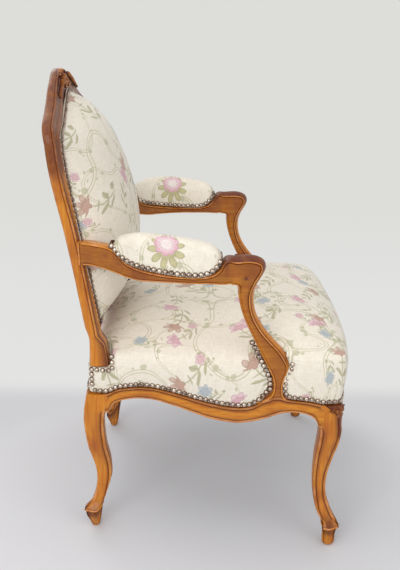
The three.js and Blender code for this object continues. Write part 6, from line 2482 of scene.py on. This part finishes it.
@dataclass(frozen=True)
class BackPad:
    """The domed back pad and the panel behind it.

    Attributes:
        depth: How far the crown stands in front of the rebate's floor.
        edge: How far the pad's edge lies over the frame's inner edge.
        flat: Share of the pad inside its nailed border.
        hem: Place of the hem on the pad's square, just past its border.
    """

    depth: float = 100.0
    edge: float = 10.6
    flat: float = 0.962
    hem: float = 1.0000001

    def top_edge(self) -> list[tuple[float, float]]:
        """The crest's inner edge as X and Z, from the middle outwards."""
        path = BackFrame().crest_path(80)
        points = []
        for point, out, half in path:
            inner = point - Vector((out.x, 0, out.z)) * (half - self.edge)
            if point.x >= 0:
                points.append((inner.x, inner.z))
        points.sort()
        return points

    def outline(self) -> tuple[Callable[[float], float], Callable[[float], float], float]:
        """Upper edge and lower edge by X, and the half width at the shoulders."""
        table = self.top_edge()
        widest = table[-1][0]
        clean = [table[0]]
        for row in table[1:]:
            if row[0] > clean[-1][0] + 0.4:
                clean.append(row)

        def high(x: float) -> float:
            """Upper edge."""
            return read(clean, abs(x), 1)

        half = PLAN.frame_x(PLAN.lower_rail_height) - PLAN.stile_width / 2

        def low(x: float) -> float:
            """Lower edge."""
            drop, wide = (read(LOWER_RAIL_SHARES, min(abs(x) / half, 1.0), k) for k in (1, 2))
            middle = PLAN.lower_rail_height - PLAN.lower_rail_drop * drop
            return middle + PLAN.lower_rail_width * wide / 2 - self.edge

        return high, low, widest

    def placer(self) -> Placing:
        """A function from the square's place to X and Z."""
        high, low, widest = self.outline()

        def edge_x(z: float) -> float:
            """Side edge at a height."""
            return PLAN.frame_x(min(z, PLAN.shoulder_height)) - PLAN.stile_width / 2 + self.edge

        def place(a: float, b: float) -> tuple[float, float]:
            """X and Z of a place.

            Args:
                a: Place across, from -1 to 1.
                b: Place from the front or the bottom, -1, to the rear or the top, 1.

            Returns:
                The two coordinates.
            """
            up = (b + 1) / 2
            bottom_x = a * edge_x(low(200))
            top_x = a * widest
            z_low, z_high = low(bottom_x), high(top_x)
            z = mix(z_low, z_high, up)
            side_z = mix(low(bottom_x), high(widest), up)
            straight = mix(bottom_x, top_x, up)
            lean = edge_x(side_z) - abs(mix(math.copysign(edge_x(low(200)), 1), widest, up))
            return straight + math.copysign(lean * abs(a), a), z

        return place

    @staticmethod
    def run(end: float, line: Callable[[float], tuple[float, float]]) -> float:
        """Length of a line over the crown, from the middle to a place on one side of it.

        Args:
            end: The place.
            line: The line, by the place along it.

        Returns:
            The length, with the place's sign.
        """
        points = [line(end * t) for t in steps(15)]
        return math.copysign(sum(math.dist(p, q) for p, q in zip(points, points[1:])), end)

    def depth_at(self, a: float, b: float) -> float:
        """How far the pad stands in front of the rebate's floor."""
        across, up = (min(1.0, abs(t) / self.flat) for t in (a, b))
        return self.depth * fullness(across, 2.5, 0.62) * fullness(up, 2.2, 0.6)

    def build(self, cloth: Material) -> Object:
        """Makes the pad.

        Args:
            cloth: The cloth's finish.

        Returns:
            The piece.
        """
        place = self.placer()

        def floor(z: float) -> float:
            """The rebate's floor."""
            return PLAN.frame_face(z) + PLAN.back_rebate_depth

        def over(a: float, b: float, wall: float) -> Vector:
            """A point of the cover."""
            x, z = place(a, b)
            return Vector((x, floor(z) - PLAN.fabric - PLAN.gap - self.depth_at(a, b), z))

        def under(a: float, b: float, wall: float) -> Vector:
            """A point of the back."""
            x, z = place(a, b)
            near = max(abs(a), abs(b))
            return Vector((x, floor(z) - PLAN.gap - 4.2 * ease((1 - near) * 14), z))

        def marks(a: float, b: float, wall: float) -> tuple[float, float]:
            """Cloth coordinates in metres."""
            across = self.run(a, lambda t: (t * 200, self.depth_at(t, b)))
            up = self.run(b, lambda t: (t * 235, self.depth_at(a, t)))
            return across * MM + 3.0, up * MM

        skin = Pad(96, self.hem, over, under, marks, lambda point: False).build()
        nodes = ["back_cover_front", "back_stuffing"]
        piece = skin.finish("back_pad", cloth, COVER, nodes, sharp=60.0)
        plump(piece, 4.0, 0.003)
        self.panel(cloth, place)
        log.info("back pad and outside back")
        return piece

    def panel(self, cloth: Material, place: Placing) -> Object:
        """The cloth that closes the back from behind.

        Args:
            cloth: The cloth's finish.
            place: X and Z from the square's place.

        Returns:
            The piece.
        """
        rear = PLAN.stile_depth / 2 - 4.8

        def layer(front: float) -> Surface:
            """A surface of the sheet.

            Args:
                front: How far it lies behind the sheet's inner face.

            Returns:
                The surface.
            """

            def shape(a: float, b: float, wall: float) -> Vector:
                """A point of it."""
                x, z = place(a, b)
                slack = 1.6 * fullness(a, 2, 1) * fullness(b, 2, 1)
                return Vector((x, PLAN.frame_y(z) + rear + front - slack, z))

            return shape

        def marks(a: float, b: float, wall: float) -> tuple[float, float]:
            """Cloth coordinates in metres."""
            x, z = place(a, b)
            return -x * MM + 7.0, (z - 700) * MM

        skin = Pad(60, self.hem, layer(1.2), layer(0.0), marks, lambda point: True).build()
        piece = skin.finish("outside_back", cloth, COVER, ["back_cover_rear"], sharp=60.0)
        return piece


@dataclass(frozen=True)
class ArmPads:
    """The pads on the arms.

    Attributes:
        overhang: How far a pad stands out over the arm's wood.
        line: Height of the lower edge along the arm.
    """

    overhang: float = 1.6
    line: Table = (
        (0.165, 657), (0.2, 642), (0.25, 629), (0.33, 622), (0.44, 617), (0.55, 613), (0.64, 612.5),
        (0.7, 617), (0.735, 626), (0.764, 640),
    )

    def point(self, a: float, s: float) -> Vector:
        """A point of the pad.

        Args:
            a: Place along the pad, from -1 at the rear to 1 at the front.
            s: Place across it, from -1 to 1, hem to hem.

        Returns:
            The point, on the left arm.
        """
        along = mix(ARM_PAD_SHARES[0][0], ARM_PAD_SHARES[-1][0], (a + 1) / 2)
        top, wide = (read(ARM_PAD_SHARES, along, k) for k in (1, 2))
        base = self.hem(along)
        height = max(mix(PLAN.arm_height, PLAN.pad_top, top), base + 4.0)
        half = PLAN.pad_width * wide / 2 + self.overhang
        angle = s * math.pi / 2
        u = math.copysign(abs(math.sin(angle)) ** 0.72, s) if s else 0.0
        v = max(0.0, math.cos(angle)) ** 0.62
        off = half * u * (1 + 0.05 * math.sin(abs(angle) * 2))
        return PLAN.arm_point(along, off, mix(base, height, v))

    @staticmethod
    def cloth(point: Vector) -> tuple[float, float]:
        """Cloth coordinates in metres: the way down from the crown, and the way along the arm."""
        middle = PLAN.arm_x(PLAN.arm_share(point.y, point.z))
        down = abs(point.x - middle) + (PLAN.pad_top - point.z) * 0.85
        return down * MM, (point.y - 92) * MM

    def hem(self, along: float) -> float:
        """Height of the pad's lower edge along the arm."""
        return read(self.line, along, 1)

    def build(self, cloth: Material) -> None:
        """Makes both pads.

        Args:
            cloth: The cloth's finish.
        """
        for side in Side:
            skin = Skin()
            rings = []
            across = steps(34, -1, 1)
            inner = steps(20, 1, -1)[1:-1]
            for a in steps(70, -1, 1):
                over = [(self.point(a, s), 0.0, 0.0) for s in across]
                left, right = over[0][0], over[-1][0]
                under = [(right.lerp(left, (1 - s) / 2), 0.0, 0.0) for s in inner]
                rings.append(over + under)
            ends = rings[0], rings[-1]
            for shrink in (0.8, 0.45, 0.15):
                bulge = Y * 1.2 * (1 - shrink)
                rings.append([(point - bulge, 0.0, 0.0) for point, *_ in scaled(ends[1], shrink)])
                rings.insert(0, [(point + bulge, 0.0, 0.0) for point, *_ in scaled(ends[0], shrink)])
            skin.sweep(rings)
            for face in skin.bm.faces:
                for corner in face.loops:
                    corner[skin.cloth].uv = self.cloth(corner.vert.co)
            for vert in skin.bm.verts:
                along = PLAN.arm_share(vert.co.y, vert.co.z)
                nailed = vert.co.z < self.hem(along) + 9 or not 0.2 < along < 0.73
                vert[skin.pinned] = 1.0 if nailed else 0.0
            nodes = [f"arm_cover_{side.value}", f"arm_stuffing_{side.value}"]
            piece = skin.finish(f"arm_pad_{side.value}", cloth, COVER, nodes, sharp=70.0, flip=side.flip)
            plump(piece, 4.0, 0.0025)
        log.info("arm pads")


@dataclass(frozen=True)
class Nailing:
    """Rows of round-headed nails along the edges of the fabric.

    Attributes:
        head: Diameter of a head.
        pitch: Distance from one nail to the next.
        height: Height of a head.
        above: Distance of a row from the fabric's edge.
    """

    head: float = 11.6
    pitch: float = 11.5
    height: float = 4.8
    above: float = 4.6

    def row(self, skin: Skin, path: Path) -> int:
        """Drives a row of nails.

        Args:
            skin: The mesh that takes them.
            path: Points with the directions in which the heads face.

        Returns:
            The number of nails.
        """
        lengths = [0.0]
        for (before, _), (after, _) in zip(path, path[1:]):
            lengths.append(lengths[-1] + (after - before).length)
        count = max(2, round(lengths[-1] / self.pitch) + 1)
        k = 0
        for at in steps(count, 0.0, lengths[-1]):
            while k < len(lengths) - 2 and lengths[k + 1] < at:
                k += 1
            share = (at - lengths[k]) / max(lengths[k + 1] - lengths[k], 1e-9)
            point = path[k][0].lerp(path[k + 1][0], share)
            facing = path[k][1].lerp(path[k + 1][1], share).normalized()
            turn = facing.to_track_quat("Z", "Y").to_matrix().to_4x4()
            wobble = noise.noise_vector(point * 0.37) * 0.25
            place = Matrix.Translation(point + wobble) @ turn
            skin.lump(place, (self.head / 2, self.head / 2, self.height), self.dome, (10, 6))
        return count

    @staticmethod
    def dome(point: Vector) -> Vector:
        """A head: domed above and flat below."""
        return Vector((point.x, point.y, point.z if point.z > 0 else point.z * 0.12))

    def drive(self, name: str, paths: Sequence[Path], metal: Material, flip: bool = False) -> None:
        """Makes one object of several rows.

        Args:
            name: The piece's name.
            paths: The rows.
            metal: The nails' finish.
            flip: Whether the rows go to the other side of the chair.
        """
        skin = Skin()
        count = sum(self.row(skin, path) for path in paths)
        skin.finish(name, metal, "", sharp=70.0, flip=flip)
        log.info("%s: %d nails", name, count)

    def seat(self, cushion: SeatCushion) -> tuple[list[Path], list[Path]]:
        """Rows of the seat: those of one side, and those of the front and the rear.

        Args:
            cushion: The seat.

        Returns:
            The rows of the left side, then the front and rear rows.
        """

        def spot(a: float, b: float, out: Vector) -> tuple[Vector, Vector]:
            """A place just over the hem."""
            p, q = cushion.plan_place(a, b)
            hem = PLAN.hem(p, q)
            drop = self.above / (PLAN.seat_top(q * 0.94) - hem) / cushion.edge_rise
            return cushion.over(a, b, 1 - drop), out

        def outward(a: float, b: float) -> Vector:
            """Direction out of the seat at its border."""
            along, out = (math.copysign(abs(t) ** 12, t) for t in (a, b))
            return Vector((along, out, 0.05)).normalized()

        edge = [spot(1.0, b, outward(1.0, b)) for b in steps(240, 0.955, -1.0)]
        ear_rear, ear_front = -92.0, -163.0
        rear_part = [spot_ for spot_ in edge if spot_[0].y > ear_rear]
        front_part = [spot_ for spot_ in edge if spot_[0].y < ear_front]
        rear_part += self.console(Arms().bottom[-9:-3], 1.0)
        front_part = self.console(Arms().top[2:8], -1.0)[::-1] + front_part

        def on_wall(y: float, z: float) -> tuple[Vector, Vector]:
            """The cloth's own place on the side of the seat.

            Args:
                y: Place along the side.
                z: Height.

            Returns:
                The place and the way it faces.
            """
            b = y / (PLAN.half_depth - PLAN.hem_set)
            p, q = cushion.plan_place(1.0, b)
            hem = PLAN.hem(p, q)
            rise = (z - hem) / (PLAN.seat_top(q * 0.94) - hem)
            found = cushion.over(1.0, b, clamp(1 - rise / cushion.edge_rise))
            return Vector((found.x - 0.6, y, z)), X

        post = [on_wall(250.5, z) for z in steps(6, 352, 386)]
        under_stile = [on_wall(y, 386.5) for y in steps(5, 239, 210)]
        up_stile = [on_wall(y, z) for y, z in ((206.5, 394), (207, 405), (208, 417))]
        sides = [rear_part, front_part, post, under_stile + up_stile]
        front = [spot(a, -1.0, outward(a, -1.0)) for a in steps(240, -0.985, 0.985)]
        rear = [spot(a, 1.0, outward(a, 1.0)) for a in steps(240, -0.96, 0.96)]
        return sides, [front, rear]

    def console(self, edge: Table, way: float) -> Path:
        """Nails that climb beside the support's foot.

        Args:
            edge: Points of the support's edge, in Y and Z.
            way: 1 behind the support and -1 in front of it.

        Returns:
            The path, from the lip upwards.
        """
        path = []
        for y, z in sorted(edge, key=lambda row: row[1]):
            face = PLAN.support_x(PLAN.support_share(z)) + PLAN.support_width / 2
            x = (face if z > PLAN.rail_top else PLAN.half_width(y)) - 2.4
            path.append((Vector((x, y + way * (self.head / 2 + 0.6), z)), X))
        return path

    def back(self, pad: BackPad) -> Path:
        """The row round the back pad.

        Args:
            pad: The back pad.

        Returns:
            The row.
        """
        place = pad.placer()
        border = [(t, -1.0) for t in steps(80, -1, 1)] + [(1.0, t) for t in steps(80, -1, 1)]
        border += [(-a, -b) for a, b in border]
        front = []
        for a, b in border:
            x, z = place(a, b)
            tail = place(a * 0.98, b * 0.98)
            inward = Vector((tail[0] - x, 0, tail[1] - z)).normalized()
            spot = Vector((x, 0, z)) + inward * self.above
            floor = PLAN.frame_face(spot.z) + PLAN.back_rebate_depth - PLAN.fabric - 0.4
            front.append((Vector((spot.x, floor, spot.z)), Vector((0, -1, 0.12)).normalized()))
        return front

    def arm(self, pads: ArmPads) -> Path:
        """A row round an arm pad.

        Args:
            pads: The arm pads.

        Returns:
            The row, on the left arm.
        """

        def spot(a: float, way: float) -> tuple[Vector, Vector]:
            """A place just over the pad's hem."""
            low, high = pads.point(a, way), pads.point(a, 0.0)
            share = clamp(self.above / max(high.z - low.z, 8.0), 0.0, 0.7)
            s = way * math.acos(share ** (1 / 0.62)) / (math.pi / 2)
            return pads.point(a, s), Vector((way, 0, 0.1)).normalized()

        outer = [spot(a, 1.0) for a in steps(60, -0.985, 0.985)]
        inner = [spot(a, -1.0) for a in steps(60, 0.985, -0.985)]
        ends = []
        for a, way in ((1.0, -1.0), (-1.0, 1.0)):
            point = pads.point(a, 0.6 * way) + Y * way * 0.6 - Z * 3.0
            ends.append((point, Vector((0, way, 0.3)).normalized()))
        return [*outer, ends[0], *inner, ends[1]]

    def build(self, metal: Material) -> None:
        """Drives all the nails.

        Args:
            metal: The nails' finish.
        """
        sides, ends = self.seat(SeatCushion())
        for side in Side:
            self.drive(f"seat_nails_{side.value}", sides, metal, side.flip)
            self.drive(f"arm_nails_{side.value}", [self.arm(ArmPads())], metal, side.flip)
        self.drive("seat_nails_front", ends[:1], metal)
        self.drive("seat_nails_rear", ends[1:], metal)
        self.drive("back_nails", [self.back(BackPad())], metal)


def dress_inside(groups: Finishes) -> None:
    """Finishes the parts that are taken over from the CAD model as they are.

    Args:
        groups: Shared node groups.
    """
    jute, stripe = (rgb(196, 168, 124), rgb(138, 110, 74)), rgb(70, 52, 38)
    finishes = {
        "block": Wood.plain(groups, "block_wood", rgb(202, 164, 112), rgb(150, 108, 66), 0.7),
        "peg": Wood.plain(groups, "peg_wood", rgb(150, 84, 40), rgb(96, 48, 24), 0.4),
        "hessian": Cloth(groups, "hessian", rgb(182, 152, 104), rgb(110, 84, 50), 0.0016, 0.0006).make(),
        "web": Cloth(groups, "webbing", *jute, 0.0009, 0.0004, stripe=stripe).make(),
        "dust_cover": Cloth(groups, "black_cambric", rgb(38, 37, 36), rgb(16, 16, 16), 0.0006, 0.0002).make(),
        "spring": Metal(groups, "spring_steel", rgb(150, 142, 130), rgb(92, 78, 62), 0.42).make(),
    }
    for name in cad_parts:
        piece = bpy.data.objects.get(name)
        if piece is None or piece.hide_render:
            continue
        for word, finish in finishes.items():
            if word in name:
                piece.data.materials.clear()
                piece.data.materials.append(finish)
                break
        else:
            log.warning("%s has no finish of its own", name)


def main() -> None:
    """Builds the chair and its studio."""
    logging.basicConfig(level=logging.INFO, format="%(name)s: %(message)s")
    groups = Finishes(timber_group(), patina_and_light_group(), weave_group())
    upright, crosswise, lengthwise = (
        Wood(groups, f"show_wood_{grain.name.lower()}", grain).make() for grain in Grain
    )
    flowers, vines = flower_group(), vine_group()
    silk = FloweredSilk(groups).make(flowers, vines)
    arm_silk = FloweredSilk(groups, "flowered_silk_arms", motifs=(OLIVE, ROSETTE)).make(flowers, vines)
    Studio().build()
    CabrioleLegs().build(upright)
    SeatRails().build(lengthwise, crosswise)
    BackFrame().build(crosswise)
    Arms().build(lengthwise)
    SeatCushion().build(silk)
    BackPad().build(silk)
    ArmPads().build(arm_silk)
    # Painted highlight and shade: the near-white tone goes on the heads' tops and the dark tone round their
    # rims.
    Nailing().build(Metal(groups, "antique_bronze", rgb(244, 228, 210), rgb(92, 62, 46), 0.26).make())
    dress_inside(groups)


if __name__ == "__main__":
    main()
